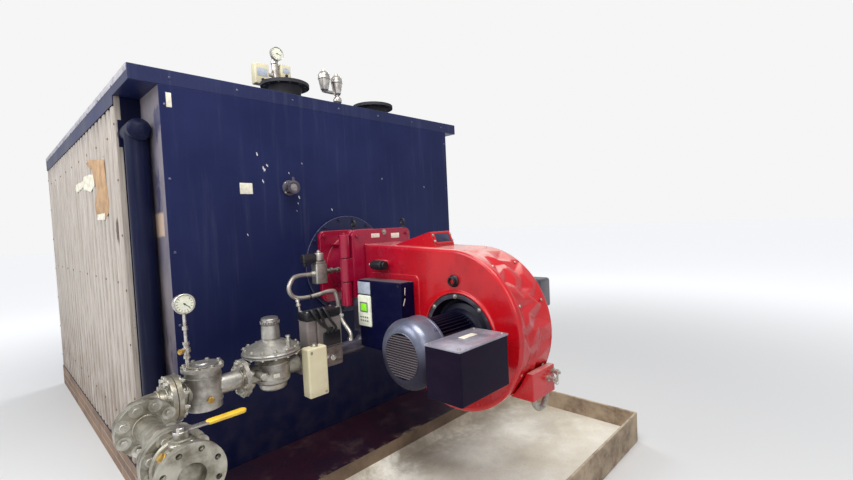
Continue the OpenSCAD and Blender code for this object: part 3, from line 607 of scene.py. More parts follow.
def smooth_path(points, count=60):
    """Catmull-Rom curve through the points, as an array of evenly numbered steps."""
    points = np.asarray(points, float)
    padded = np.vstack([2 * points[0] - points[1], points, 2 * points[-1] - points[-2]])
    at = np.linspace(0, len(points) - 1 - 1e-9, count)
    i = at.astype(int)
    t = (at - i)[:, None]
    a, b, c, d = padded[i], padded[i + 1], padded[i + 2], padded[i + 3]
    return 0.5 * (
        2 * b + (c - a) * t + (2 * a - 5 * b + 4 * c - d) * t**2 + (3 * b - a - 3 * c + d) * t**3
    )


def circle(radius, count=20):
    angle = np.linspace(0, 2 * math.pi, count, endpoint=False)
    return np.stack([np.cos(angle), np.sin(angle)], 1) * radius


def swept(path, outline, up=Z, closed=False):
    """An outline (across, up) carried along a path, kept square to it; closed joins the ends."""
    path = np.asarray(path, float)
    if closed:
        along = np.roll(path, -1, 0) - np.roll(path, 1, 0)
    else:
        along = np.gradient(path, axis=0)
    along = unit(along)
    across = unit(np.cross(along, up))
    rise = np.cross(across, along)
    outline = np.asarray(outline, float)
    rows = path[:, None] + outline[:, 0, None] * across[:, None] + outline[:, 1, None] * rise[:, None]
    return strip(rows, round_rows=closed, round_each=True, ends=not closed)


def tube(points, radius, up=Z, count=60, sides=16):
    return swept(smooth_path(points, count), circle(radius, sides), up)


def round_rect(width, height, corner, each=8):
    """Outline of a rectangle with round corners, centred, anticlockwise."""
    angle = np.linspace(0, math.pi / 2, each)
    corners = []
    for turn, (sx, sy) in enumerate([(1, 1), (-1, 1), (-1, -1), (1, -1)]):
        a = angle + turn * math.pi / 2
        centre = np.array([sx * (width / 2 - corner), sy * (height / 2 - corner)])
        corners.append(centre + corner * np.stack([np.cos(a), np.sin(a)], 1))
    return np.vstack(corners)


def outline_normals(outline):
    """Outward unit normals of a closed anticlockwise outline."""
    along = np.roll(outline, -1, 0) - np.roll(outline, 1, 0)
    return unit(np.stack([along[:, 1], -along[:, 0]], 1))


def plate(outline, origin, right, up, depths, insets):
    """A closed outline drawn on the plane of right and up, carried along their normal through
    the depths; each inset draws the outline in by that much, which rounds the rims."""
    outline = np.asarray(outline, float)
    out = outline_normals(outline)
    normal = np.cross(right, up)
    flat = outline[None] - np.asarray(insets, float)[:, None, None] * out[None]
    rows = (
        np.asarray(origin, float)
        + flat[..., :1] * np.asarray(right, float)
        + flat[..., 1:] * np.asarray(up, float)
        + np.asarray(depths, float)[:, None, None] * normal
    )
    return strip(rows, round_each=True, ends=True)


def soft_plate(outline, origin, right, up, thick, edge=0.003):
    """A plate of even thickness with its two rims rounded."""
    e = min(edge, thick / 2.2)
    depths = [0, 0.3 * e, e, thick - e, thick - 0.3 * e, thick]
    return plate(outline, origin, right, up, depths, [e, 0.3 * e, 0, 0, 0.3 * e, e])


def soft_box(low, high, edge=0.004):
    """A box with rounded upright corners and rims, standing on the XY plane."""
    low, high = np.asarray(low, float), np.asarray(high, float)
    size = high - low
    corner = min(edge * 1.6, size[0] / 2.2, size[1] / 2.2)
    outline = round_rect(size[0], size[1], corner, 5)
    centre = np.array([(low[0] + high[0]) / 2, (low[1] + high[1]) / 2, low[2]])
    return soft_plate(outline, centre, X, Y, size[2], edge)


def hexagon(across, height, chamfer=0.0012):
    """A nut or bolt head on the XY plane, its rim chamfered."""
    angle = np.arange(6) * math.pi / 3
    ring = np.stack([np.cos(angle), np.sin(angle)], 1) * across / math.sqrt(3)
    shrink = 1 - 2.4 * chamfer / across
    rows = [(0, 1.0), (height - chamfer, 1.0), (height, shrink)]
    return strip(
        np.array([np.column_stack([ring * s, np.full(6, z)]) for z, s in rows]), round_each=True, ends=True
    )


def bolt(across=0.024, height=0.012, washer=0.003, stub=0.0):
    """A hexagon head on its washer, with the thread's end standing out of a nut if stub is set."""
    shapes = [
        turned([(0, 0), (across * 0.98, 0), (across * 0.98, washer), (0, washer)], (0, 0, 0), Z, 16),
    ]
    head, faces = hexagon(across, height)
    shapes.append((head + [0, 0, washer], faces))
    if stub:
        r = across * 0.3
        top = washer + height
        shapes.append(turned([(r, top), (r, top + stub - 0.002), (r * 0.7, top + stub)], (0, 0, 0), Z, 10))
    return joined(*shapes)


def stamped(shape, places, axis):
    """Copies of a small shape that stands on the XY plane, one at each place, along the axis."""
    points, faces = shape
    places = np.atleast_2d(np.asarray(places, float))
    axes = np.broadcast_to(unit(axis), places.shape)
    helper = np.where(np.abs(axes[:, 2:3]) < 0.9, Z, X)
    side = unit(np.cross(axes, helper))
    other = np.cross(axes, side)
    turned_points = (
        places[:, None]
        + points[None, :, :1] * side[:, None]
        + points[None, :, 1:2] * other[:, None]
        + points[None, :, 2:] * axes[:, None]
    )
    offsets = np.arange(len(places)) * len(points)
    return turned_points.reshape(-1, 3), [[i + o for i in face] for o in offsets.tolist() for face in faces]


def ring_of(centre, axis, radius, count, first=0.5):
    """Points evenly round a circle; first is the first one's place, in steps."""
    side, other = basis(axis)
    angle = (np.arange(count) + first) * 2 * math.pi / count
    return np.asarray(centre) + radius * (np.outer(np.cos(angle), side) + np.outer(np.sin(angle), other))


def piece(name, shape, finish, body="boiler", replaces=(), sharp=38, outward=True, bevel=0.0, wall=0.0):
    """Makes a surface into an object of the model: merged, its faces outwards, smooth up to the sharp angle."""
    points, faces = shape
    mesh = bpy.data.meshes.new(name)
    mesh.from_pydata(np.asarray(points).tolist(), [], faces)
    made = bmesh.new()
    made.from_mesh(mesh)
    bmesh.ops.remove_doubles(made, verts=made.verts, dist=1e-5)
    if outward:
        bmesh.ops.recalc_face_normals(made, faces=made.faces)
    made.to_mesh(mesh)
    made.free()
    mesh.shade_smooth()
    mesh.set_sharp_from_angle(angle=math.radians(sharp))
    mesh.materials.append(FINISH[finish])
    thing = bpy.data.objects.new(name, mesh)
    bpy.context.scene.collection.objects.link(thing)
    if wall:
        thickness = thing.modifiers.new("wall", "SOLIDIFY")
        thickness.thickness = wall
    if bevel:
        edge = thing.modifiers.new("rounded edges", "BEVEL")
        edge.width, edge.segments, edge.limit_method, edge.angle_limit = bevel, 3, "ANGLE", 0.6
        edge.harden_normals = True
    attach(thing, body)
    if replaces:
        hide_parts(*replaces)
    return thing


def softened(node, name, finish, width=0.003, **more):
    """A merged copy of a CAD node with rounded edges, which stands for the node."""
    source = frame["nodes"][node].data
    made = bmesh.new()
    made.from_mesh(source)
    bmesh.ops.remove_doubles(made, verts=made.verts, dist=1e-5)
    bmesh.ops.dissolve_limit(made, angle_limit=0.02, verts=made.verts, edges=made.edges)
    points = np.array([v.co for v in made.verts])
    faces = [[v.index for v in face.verts] for face in made.faces]
    made.free()
    body = frame["nodes"][node]["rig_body"]
    return piece(name, (points, faces), finish, body, (node,), bevel=width, outward=False, **more)


def painted(node, finish):
    """A CAD node whose shape stays, with a finish of its own."""
    mesh = frame["nodes"][node].data
    mesh.materials.clear()
    mesh.materials.append(FINISH[finish])


# Settings


class CaseLooks(bpy.types.PropertyGroup):
    panel_colour: bpy.props.FloatVectorProperty(
        name="Panel colour", description="Paint of the front panel and the roof cap",
        subtype="COLOR", default=srgb(23, 30, 68)[:3], min=0, max=1)
    bolt_across: bpy.props.FloatProperty(
        name="Screw size", description="Width of the casing's screw heads",
        subtype="DISTANCE", default=0.014, min=0.005, max=0.03)


class BurnerLooks(bpy.types.PropertyGroup):
    housing_colour: bpy.props.FloatVectorProperty(
        name="Housing colour", description="Enamel of the fan housing",
        subtype="COLOR", default=srgb(190, 12, 24)[:3], min=0, max=1)
    dent_depth: bpy.props.FloatProperty(
        name="Dent depth", description="How far the knocks in the fan housing's band go in",
        subtype="DISTANCE", default=0.020, min=0, max=0.03)
    grille_bars: bpy.props.IntProperty(
        name="Grille bars", description="Number of slats in the motor's grille", default=17, min=5, max=30)


class GasLooks(bpy.types.PropertyGroup):
    tube_radius: bpy.props.FloatProperty(
        name="Tube radius", description="Radius of the pilot gas tube",
        subtype="DISTANCE", default=0.0125, min=0.004, max=0.02)


class StageLooks(bpy.types.PropertyGroup):
    floor_colour: bpy.props.FloatVectorProperty(
        name="Floor colour", description="Colour of the plain floor",
        subtype="COLOR", default=(0.72, 0.72, 0.72), min=0, max=1)


# Pieces


class BOILER_OT_finishes(bpy.types.Operator):
    """Makes the materials and gives the CAD nodes that stay their own"""

    bl_idname = "boiler.finishes"
    bl_label = "Finishes"

    def execute(self, context):
        FINISH.update(finishes())
        for node, finish in {
            "plinth": "plinth", "tray_floor": "concrete", "tray_rim": "rim", "boiler_casing": "core",
            "cladding_left": "cladding", "cladding_right": "cladding", "corner_flashings": "cladding",
            "end_walls": "recess", "roof_cap": "panel", "front_box": "side_grey", "front_panel": "panel",
            "downcomers": "recess", "header_collars": "recess", "peephole": "charcoal", "burner_door": "panel",
            "swing_flange": "crimson", "hinge_pin": "crimson", "lifting_eyes": "black", "fan_housing": "red",
            "window_hood": "red", "motor_ring": "charcoal", "motor_body": "motor", "motor_cowl": "cowl",
            "inverter": "charcoal", "control_box": "black", "display_unit": "cream", "flame_sensor": "black",
            "sight_plug": "charcoal", "intake_box": "black", "drain_foot": "red", "hose_loop": "hose",
            "gas_inlet_valve": "flange", "gas_lever": "yellow", "gas_inlet_elbow": "flange",
            "gas_filter": "alloy", "gas_gauge": "steel", "gas_regulator": "alloy", "gas_valve_block": "alloy",
            "gas_actuator": "beige", "gas_riser": "charcoal", "pilot_valve": "steel", "flow_nozzle": "core",
            "return_nozzle": "core", "instrument_stand": "steel", "flue_outlet": "core",
        }.items():
            painted(node, finish)
        return {"FINISHED"}


class BOILER_OT_stage(bpy.types.Operator):
    """Makes the floor, the lights and the camera"""

    bl_idname = "boiler.stage"
    bl_label = "Stage"

    def execute(self, context):
        scene = context.scene
        looks = scene.boiler_stage
        camera = bpy.data.cameras.new("photo view")
        camera.sensor_width, camera.lens = 36, 36 * 435.9 / 853
        camera.clip_start, camera.clip_end = 0.05, 200
        view = bpy.data.objects.new("photo view", camera)
        right = np.array([0.6947, -0.7178, -0.0469])
        up = np.array([0.0622, -0.0050, 0.9979])
        ahead = np.array([0.7166, 0.6962, -0.0412])
        turn = np.eye(4)
        turn[:3, 0], turn[:3, 1], turn[:3, 2], turn[:3, 3] = right, up, -ahead, (-1.796, -2.53, 1.55)
        view.matrix_world = Matrix(turn.tolist())
        scene.collection.objects.link(view)
        scene.camera = view

        floor = bpy.data.meshes.new("floor")
        floor.from_pydata([(-60, -60, 0), (60, -60, 0), (60, 60, 0), (-60, 60, 0)], [], [(0, 1, 2, 3)])
        stand = bpy.data.objects.new("floor", floor)
        pale = Finish("plain floor")
        length = {"operation": "LENGTH"}
        away = pale.node("ShaderNodeVectorMath", length, {0: pale.place}, out="Value").step(2.4, 9.0)
        far = pale.mix((0, 0, 0, 1), (0.50, 0.50, 0.51, 1), away)
        floor.materials.append(pale.done(pale.mix((*looks.floor_colour, 1), (0.96, 0.96, 0.96, 1), away), 0.8))
        pale.tree.links.new(far.socket, pale.surface.inputs["Emission Color"])
        pale.surface.inputs["Emission Strength"].default_value = 1.0
        scene.collection.objects.link(stand)

        world = bpy.data.worlds.new("studio")
        world.use_nodes = True
        tree = world.node_tree
        tree.nodes.clear()
        rays = tree.nodes.new("ShaderNodeLightPath")
        seen = tree.nodes.new("ShaderNodeMath")
        seen.operation, seen.use_clamp = "MULTIPLY_ADD", True
        shown = tree.nodes.new("ShaderNodeMath")
        shown.operation, shown.use_clamp = "ADD", True
        glow = tree.nodes.new("ShaderNodeBackground")
        backdrop = tree.nodes.new("ShaderNodeBackground")
        glow.inputs[0].default_value, glow.inputs[1].default_value = (0.92, 0.95, 1.0, 1), 0.42
        backdrop.inputs[0].default_value, backdrop.inputs[1].default_value = (1, 1, 1, 1), 0.92
        choose = tree.nodes.new("ShaderNodeMixShader")
        out = tree.nodes.new("ShaderNodeOutputWorld")
        tree.links.new(rays.outputs["Is Glossy Ray"], seen.inputs[0])
        seen.inputs[1].default_value = 0.5
        tree.links.new(rays.outputs["Is Camera Ray"], seen.inputs[2])
        tree.links.new(seen.outputs[0], shown.inputs[0])
        tree.links.new(rays.outputs["Is Transmission Ray"], shown.inputs[1])
        tree.links.new(shown.outputs[0], choose.inputs[0])
        tree.links.new(glow.outputs[0], choose.inputs[1])
        tree.links.new(backdrop.outputs[0], choose.inputs[2])
        tree.links.new(choose.outputs[0], out.inputs[0])
        scene.world = world

        for name, place, target, size, power, colour in (
            ("window light", (-4.8, 1.0, 4.4), (-0.4, 0.0, 1.2), 3.2, 165, (0.92, 0.96, 1.0)),
            ("high light", (-1.2, -1.9, 5.6), (-0.1, -0.9, 0.6), 3.0, 215, (1.0, 0.98, 0.95)),
            ("room light", (-3.8, -4.6, 3.6), (-0.2, -0.4, 1.0), 3.4, 90, (1.0, 0.97, 0.93)),
            ("rear light", (3.6, 4.8, 4.6), (0.2, 0.4, 1.4), 3.0, 130, (0.95, 0.97, 1.0)),
        ):
            light = bpy.data.lights.new(name, "AREA")
            light.size, light.energy, light.color = size, power, colour
            lamp = bpy.data.objects.new(name, light)
            back = unit(np.array(place) - np.array(target))
            side, other = basis(back)
            pose = np.eye(4)
            pose[:3, 0], pose[:3, 1], pose[:3, 2], pose[:3, 3] = side, other, back, place
            lamp.matrix_world = Matrix(pose.tolist())
            scene.collection.objects.link(lamp)
        scene.view_settings.view_transform = "Standard"
        return {"FINISHED"}


def ragged(outline, amount, seed, count=160):
    """A closed outline walked in even steps and pushed in and out by a few sine waves, like torn card."""
    outline = np.asarray(outline, float)
    closed = np.vstack([outline, outline[:1]])
    length = np.r_[0, np.cumsum(np.linalg.norm(np.diff(closed, axis=0), axis=1))]
    at = np.linspace(0, length[-1], count, endpoint=False)
    points = np.stack([np.interp(at, length, closed[:, 0]), np.interp(at, length, closed[:, 1])], 1)
    turn = at / length[-1] * 2 * math.pi
    push = sum(np.sin(turn * k + seed * k * 1.7) / k**0.6 for k in (5, 11, 23, 41))
    return points + outline_normals(points) * (push * amount)[:, None]


class BOILER_OT_casing(bpy.types.Operator):
    """Rounds the casing's edges and adds its screws, labels, peephole and torn card"""

    bl_idname = "boiler.casing"
    bl_label = "Casing"

    def execute(self, context):
        looks = context.scene.boiler_case
        softened("front_panel", "panel_sheet", "panel", 0.0025)
        softened("roof_cap", "roof_sheet", "roof", 0.003)
        softened("front_box", "box_sides", "side_grey", 0.002)
        softened("header_collars", "collar_plates", "recess", 0.0015)
        softened("tray_rim", "tray_upstand", "rim", 0.006)
        softened("end_walls", "end_sheets", "recess", 0.002)
        softened("corner_flashings", "flashing_sheets", "flashing", 0.0012)
        low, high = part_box("front_panel")
        inset, face = 0.024, low[1]
        heights = np.linspace(low[2] + 0.10, high[2] - 0.10, 6)
        rows = [(x, face, z) for x in (low[0] + inset, high[0] - inset) for z in heights]
        head = rounded_turn([(0.0004, 0), (looks.bolt_across * 0.5, 0), (looks.bolt_across * 0.5, 0.002),
                             (looks.bolt_across * 0.3, 0.004), (0.0004, 0.0045)], (0, 0, 0), Z, 16, 0.0008)
        piece("panel_screws", stamped(head, rows, -Y), "worn_paint")
        cap_low, cap_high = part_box("roof_cap")
        along = np.linspace(0.35, cap_high[1] - 0.25, 9)
        places = [(cap_low[0], y, cap_high[2] - 0.030) for y in along] + [(cap_high[0], y, cap_high[2] - 0.030) for y in along]
        outs = [-X] * len(along) + [X] * len(along)
        front = [(x, cap_low[1], cap_high[2] - 0.040) for x in np.linspace(-1.05, 1.05, 7)]
        piece("roof_screws", stamped(head, places + front, outs + [-Y] * 7), "worn_paint")
        wall_low, wall_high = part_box("corner_flashings")
        spots = [(x, y, z) for x in (wall_low[0], wall_high[0]) for y in (wall_low[1] + 0.022, wall_high[1] - 0.022)
                 for z in np.linspace(wall_low[2] + 0.12, wall_high[2] - 0.15, 7)]
        piece("flashing_screws", stamped(head, spots, [-X if s[0] < 0 else X for s in spots]), "rusty")
        for node in ("cladding_left", "cladding_right"):
            points = np.array([v.co for v in frame["nodes"][node].data.vertices])
            side = -1 if node.endswith("left") else 1
            outer = points[:, 0].min() if side < 0 else points[:, 0].max()
            crests = np.unique(points[np.abs(points[:, 0] - outer) < 1e-4, 1].round(3))
            spread = crests[3::6]
            spots = [(outer, y, z) for y in spread for z in (0.42, 1.28, 2.12)]
            piece("screws_" + node, stamped(head, spots, side * X), "rusty")
        back_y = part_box("end_walls")[1][1]
        rear = [(x, back_y, z) for x in (-1.13, 1.13) for z in np.linspace(0.32, 2.2, 7)]
        rear += [(x, back_y, z) for x in (-0.7, 0.7) for z in (0.32, 2.2)]
        piece("rear_screws", stamped(head, rear, Y), "worn_paint")
        seams = [soft_plate(round_rect(0.052, 2.02, 0.004, 4), (x, back_y - 0.0006, 1.275), -X, Z, 0.0040, 0.0012)
                 for x in (-0.62, 0.62)]
        piece("rear_seams", joined(*seams), "recess")
        spots = [(x + s, back_y + 0.0032, z) for x in (-0.62, 0.62) for s in (-0.016, 0.016) for z in np.linspace(0.34, 2.2, 8)]
        piece("seam_screws", stamped(head, spots, Y), "worn_paint")
        laps = [soft_plate(round_rect(cap_high[0] - cap_low[0] - 0.02, 0.046, 0.004, 4), ((cap_low[0] + cap_high[0]) / 2, y,
                                                                                       cap_high[2] - 0.0005), X, Y, 0.003, 0.001)
                for y in (1.22, 2.40)]
        piece("roof_laps", joined(*laps), "roof")
        run = cap_high[1] - cap_low[1]
        trims = []
        for side, x in ((-1, cap_low[0]), (1, cap_high[0])):
            trims.append(soft_box((x - 0.0020, cap_low[1] + 0.010, cap_high[2] - 0.034),
                                  (x + 0.0020, cap_low[1] + run - 0.010, cap_high[2] + 0.0015), 0.001))
        piece("roof_trims", joined(*trims), "trim")
        tops = [(x, y, cap_high[2] + 0.0023) for x in np.linspace(-1.15, 1.15, 11) for y in (1.22, 2.40)]
        piece("roof_lap_screws", stamped(head, tops, Z), "worn_paint")
        cards = joined(soft_plate(round_rect(0.075, 0.064, 0.002, 4), (-0.6825, face + 0.0002, 1.795), X, Z, 0.0012, 0.0004),
                       soft_plate(round_rect(0.026, 0.075, 0.002, 4), (-1.060, face + 0.0002, 2.245), X, Z, 0.0012, 0.0004))
        piece("panel_labels", cards, "label")
        self.peephole()
        self.torn_card()
        return {"FINISHED"}

    def peephole(self):
        low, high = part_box("peephole")
        centre = np.array([(low[0] + high[0]) / 2, high[1], (low[2] + high[2]) / 2])
        depth = high[1] - low[1]
        body = [(0.001, 0), (0.048, 0), (0.048, 0.010), (0.036, 0.012), (0.035, 0.020), (0.035, depth - 0.016), (0.042, depth - 0.014),
                (0.042, depth - 0.002), (0.032, depth), (0.024, depth - 0.003), (0.022, depth - 0.010), (0.001, depth - 0.010)]
        piece("peephole_tube", rounded_turn(body, centre, -Y, 56, 0.0015), "charcoal", replaces=("peephole",))
        piece("peephole_glass", turned([(0.0225, 0), (0.0225, 0.0052), (0.0005, 0.0070)], centre - (depth - 0.0101) * Y, -Y, 32), "lens")
        screws = ring_of(centre - 0.010 * Y, -Y, 0.0415, 4, 0.5)
        piece("peephole_screws", stamped(bolt(0.008, 0.004, 0.001), screws, -Y), "zinc")
        ear = plate(round_rect(0.016, 0.030, 0.007, 6), centre + (0.0, -depth + 0.012, 0.048), X, Z, [0, 0.001, 0.007, 0.008],
                    [0.001, 0, 0, 0.001])
        piece("peephole_ear", ear, "charcoal")

    def torn_card(self):
        """A torn sheet of tan card with bits of white lining, stuck to the left cladding's crests."""
        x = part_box("cladding_left")[0][0] - 0.0002
        card = [(-0.71, 2.017), (-1.00, 2.055), (-1.227, 2.085), (-1.311, 2.07), (-1.18, 2.02), (-1.112, 2.003),
                (-1.07, 1.932), (-0.996, 1.86), (-1.06, 1.80), (-1.103, 1.768), (-1.069, 1.68), (-0.93, 1.668),
                (-0.784, 1.662), (-0.682, 1.70), (-0.656, 1.771), (-0.697, 1.895)]
        piece("torn_card", plate(ragged(card, 0.0035, 1, 220), (x, 0, 0), -Y, Z, [0, 0.0009, 0.0012], [0, 0, 0.0004]), "paper")
        for index, patch in enumerate((
                [(-1.10, 1.972), (-1.25, 1.985), (-1.432, 1.99), (-1.50, 1.95), (-1.474, 1.90), (-1.209, 1.864), (-1.06, 1.895)],
                [(-1.49, 1.965), (-1.809, 1.967), (-1.83, 1.93), (-1.792, 1.904), (-1.50, 1.92)],
                [(-0.80, 1.70), (-1.04, 1.70), (-1.05, 1.665), (-0.82, 1.655)])):
            shape = plate(ragged(patch, 0.003, index + 2, 120), (x, 0, 0), -Y, Z, [0, 0.0012, 0.0018], [0, 0, 0.0006])
            piece("lining_scrap_" + "abc"[index], shape, "wool")


# Angle on the scroll, distance from the left face, reach along, width, tilt, sides, share of the depth
BAND_KNOCKS = (
    (97, 0.190, 0.050, 0.070, 10, 3, 0.45), (107, 0.080, 0.050, 0.050, 40, 3, 0.55),
    (116, 0.190, 0.050, 0.060, 70, 4, 0.8), (124, 0.095, 0.045, 0.050, 15, 3, 0.9),
    (132, 0.185, 0.045, 0.070, 50, 3, 0.7), (139, 0.070, 0.045, 0.040, 95, 3, 0.9),
    (146, 0.150, 0.050, 0.075, 20, 4, 1.0), (154, 0.215, 0.040, 0.050, 75, 3, 0.8),
    (160, 0.080, 0.050, 0.060, 35, 3, 1.1), (168, 0.175, 0.055, 0.090, 8, 4, 1.2),
    (178, 0.075, 0.040, 0.050, 60, 3, 0.8), (186, 0.195, 0.055, 0.060, 25, 3, 1.0),
    (196, 0.110, 0.045, 0.080, 80, 4, 1.0), (206, 0.205, 0.045, 0.050, 45, 3, 0.7),
    (216, 0.090, 0.050, 0.060, 15, 3, 0.6), (238, 0.170, 0.070, 0.070, 50, 3, 0.4),
)
SCROLL_RADIUS = 0.411
PRESSED_EDGE = 0.018


def corner(node, high, axis):
    """One side of a CAD node's box, in metres: its lowest or highest value along X, Y or Z."""
    return float(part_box(node)[int(high)]["XYZ".index(axis)])


def middle(node):
    low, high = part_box(node)
    return np.array((low + high) / 2)


def along_line(start, end, step):
    """Points from start up to, not including, end."""
    start, end = np.asarray(start, float), np.asarray(end, float)
    count = max(2, int(np.linalg.norm(end - start) / step))
    share = np.arange(count)[:, None] / count
    return start + (end - start) * share


def scroll_outline(step=0.0065):
    """The fan housing from the side, as (y, z): the scroll's arc from its top round to the duct's
    underside, then the duct's underside, its mouth and its top."""
    low_y, low_z = corner("fan_housing", 0, "Y"), corner("fan_housing", 0, "Z")
    centre = np.array([low_y, low_z]) + SCROLL_RADIUS
    throat = np.array([-0.6713, 0.9539])
    mouth = corner("fan_housing", 1, "Y") - 0.030
    last = math.degrees(math.atan2(throat[1] - centre[1], throat[0] - centre[0])) + 360
    angle = np.radians(np.linspace(90, last, int(math.radians(last - 90) * SCROLL_RADIUS / step)))
    arc = centre + SCROLL_RADIUS * np.stack([np.cos(angle), np.sin(angle)], 1)
    foot, head = (mouth, 1.096), (mouth, 1.434)
    sides = [along_line(throat, foot, step)[1:], along_line(foot, head, step), along_line(head, arc[0], step)]
    return np.vstack([arc, *sides]), centre


def crumple(turn, across, knocks, depth):
    """How far in the band lies: each knock is an upturned pyramid with three or four flat sides,
    placed by its angle on the scroll and its distance from the left face."""
    push = np.zeros_like(turn)
    for angle, place, reach, width, tilt, sides, share in knocks:
        d = np.stack([np.radians(turn - angle) * SCROLL_RADIUS, across - place], -1)
        away = np.zeros_like(turn)
        for side in range(sides):
            a = math.radians(tilt) + side * 2 * math.pi / sides
            size = reach if side % 2 == 0 else width
            away = np.maximum(away, (d[..., 0] * math.cos(a) + d[..., 1] * math.sin(a)) / size)
        push = np.maximum(push, share * np.clip(1 - away, 0, 1))
    return depth * push


def fan_shell(dent_depth, left, right):
    """The housing as one skin: the raised lip round the motor, the left face, its pressed edge, the
    knocked band, the right edge and the right face. Rows run from the motor's opening to the right."""
    outline, centre = scroll_outline()
    out = outline_normals(outline)
    motor = middle("motor_cowl")[1:]
    turn = np.arctan2(outline[:, 1] - motor[1], outline[:, 0] - motor[0])
    spoke = np.stack([np.cos(turn), np.sin(turn)], 1)
    rows = []

    def add(points, x):
        rows.append(np.column_stack([np.broadcast_to(x, len(points)), points]))

    for radius, rise in ((0.2185, -0.062), (0.2185, -0.013), (0.2190, 0.003), (0.2205, 0.0065), (0.2240, 0.0085),
                         (0.2290, 0.0080), (0.2330, 0.0050), (0.2355, 0.0015), (0.2390, 0.0)):
        add(motor + radius * spoke, left - rise)
    ring, rim = motor + 0.239 * spoke, outline - PRESSED_EDGE * out
    for share in np.linspace(0, 1, 18)[1:]:
        flat = ring + (rim - ring) * share
        wobble = 0.0012 * np.sin(flat[:, 0] * 9 + 1) * np.sin(flat[:, 1] * 7) * math.sin(math.pi * share)
        add(flat, left + np.abs(wobble))
    for a in np.radians((18, 36, 54, 72)):
        add(rim + PRESSED_EDGE * math.sin(a) * out, left + PRESSED_EDGE * (1 - math.cos(a)))
    angle = np.degrees(np.arctan2(outline[:, 1] - centre[1], outline[:, 0] - centre[0])) % 360
    span = np.linspace(left + PRESSED_EDGE, right - PRESSED_EDGE, 60)
    across = np.broadcast_to(span[:, None] - left, (len(span), len(outline)))
    push = crumple(np.broadcast_to(angle, across.shape), across, BAND_KNOCKS, dent_depth)
    wave = 0.0012 * (1 + np.sin(angle * 0.11) * np.sin(across * 26 + 0.6))
    push = push * np.clip((across - PRESSED_EDGE) / 0.02 + 0.25, 0, 1) + wave * (across > 0.03)
    for x, inward in zip(span, push):
        add(outline - inward[:, None] * out, x)
    for a in np.radians((72, 54, 36, 18)):
        add(rim + PRESSED_EDGE * math.sin(a) * out, right - PRESSED_EDGE * (1 - math.cos(a)))
    for share in (1, 0.75, 0.5, 0.25, 0.02):
        add(centre + (rim - centre) * share, right)
    points, faces = strip(np.array(rows), round_each=True)
    count = len(outline)
    faces.append(list(range(len(points) - count, len(points))))
    faces.append(list(range(count))[::-1])
    return points, faces


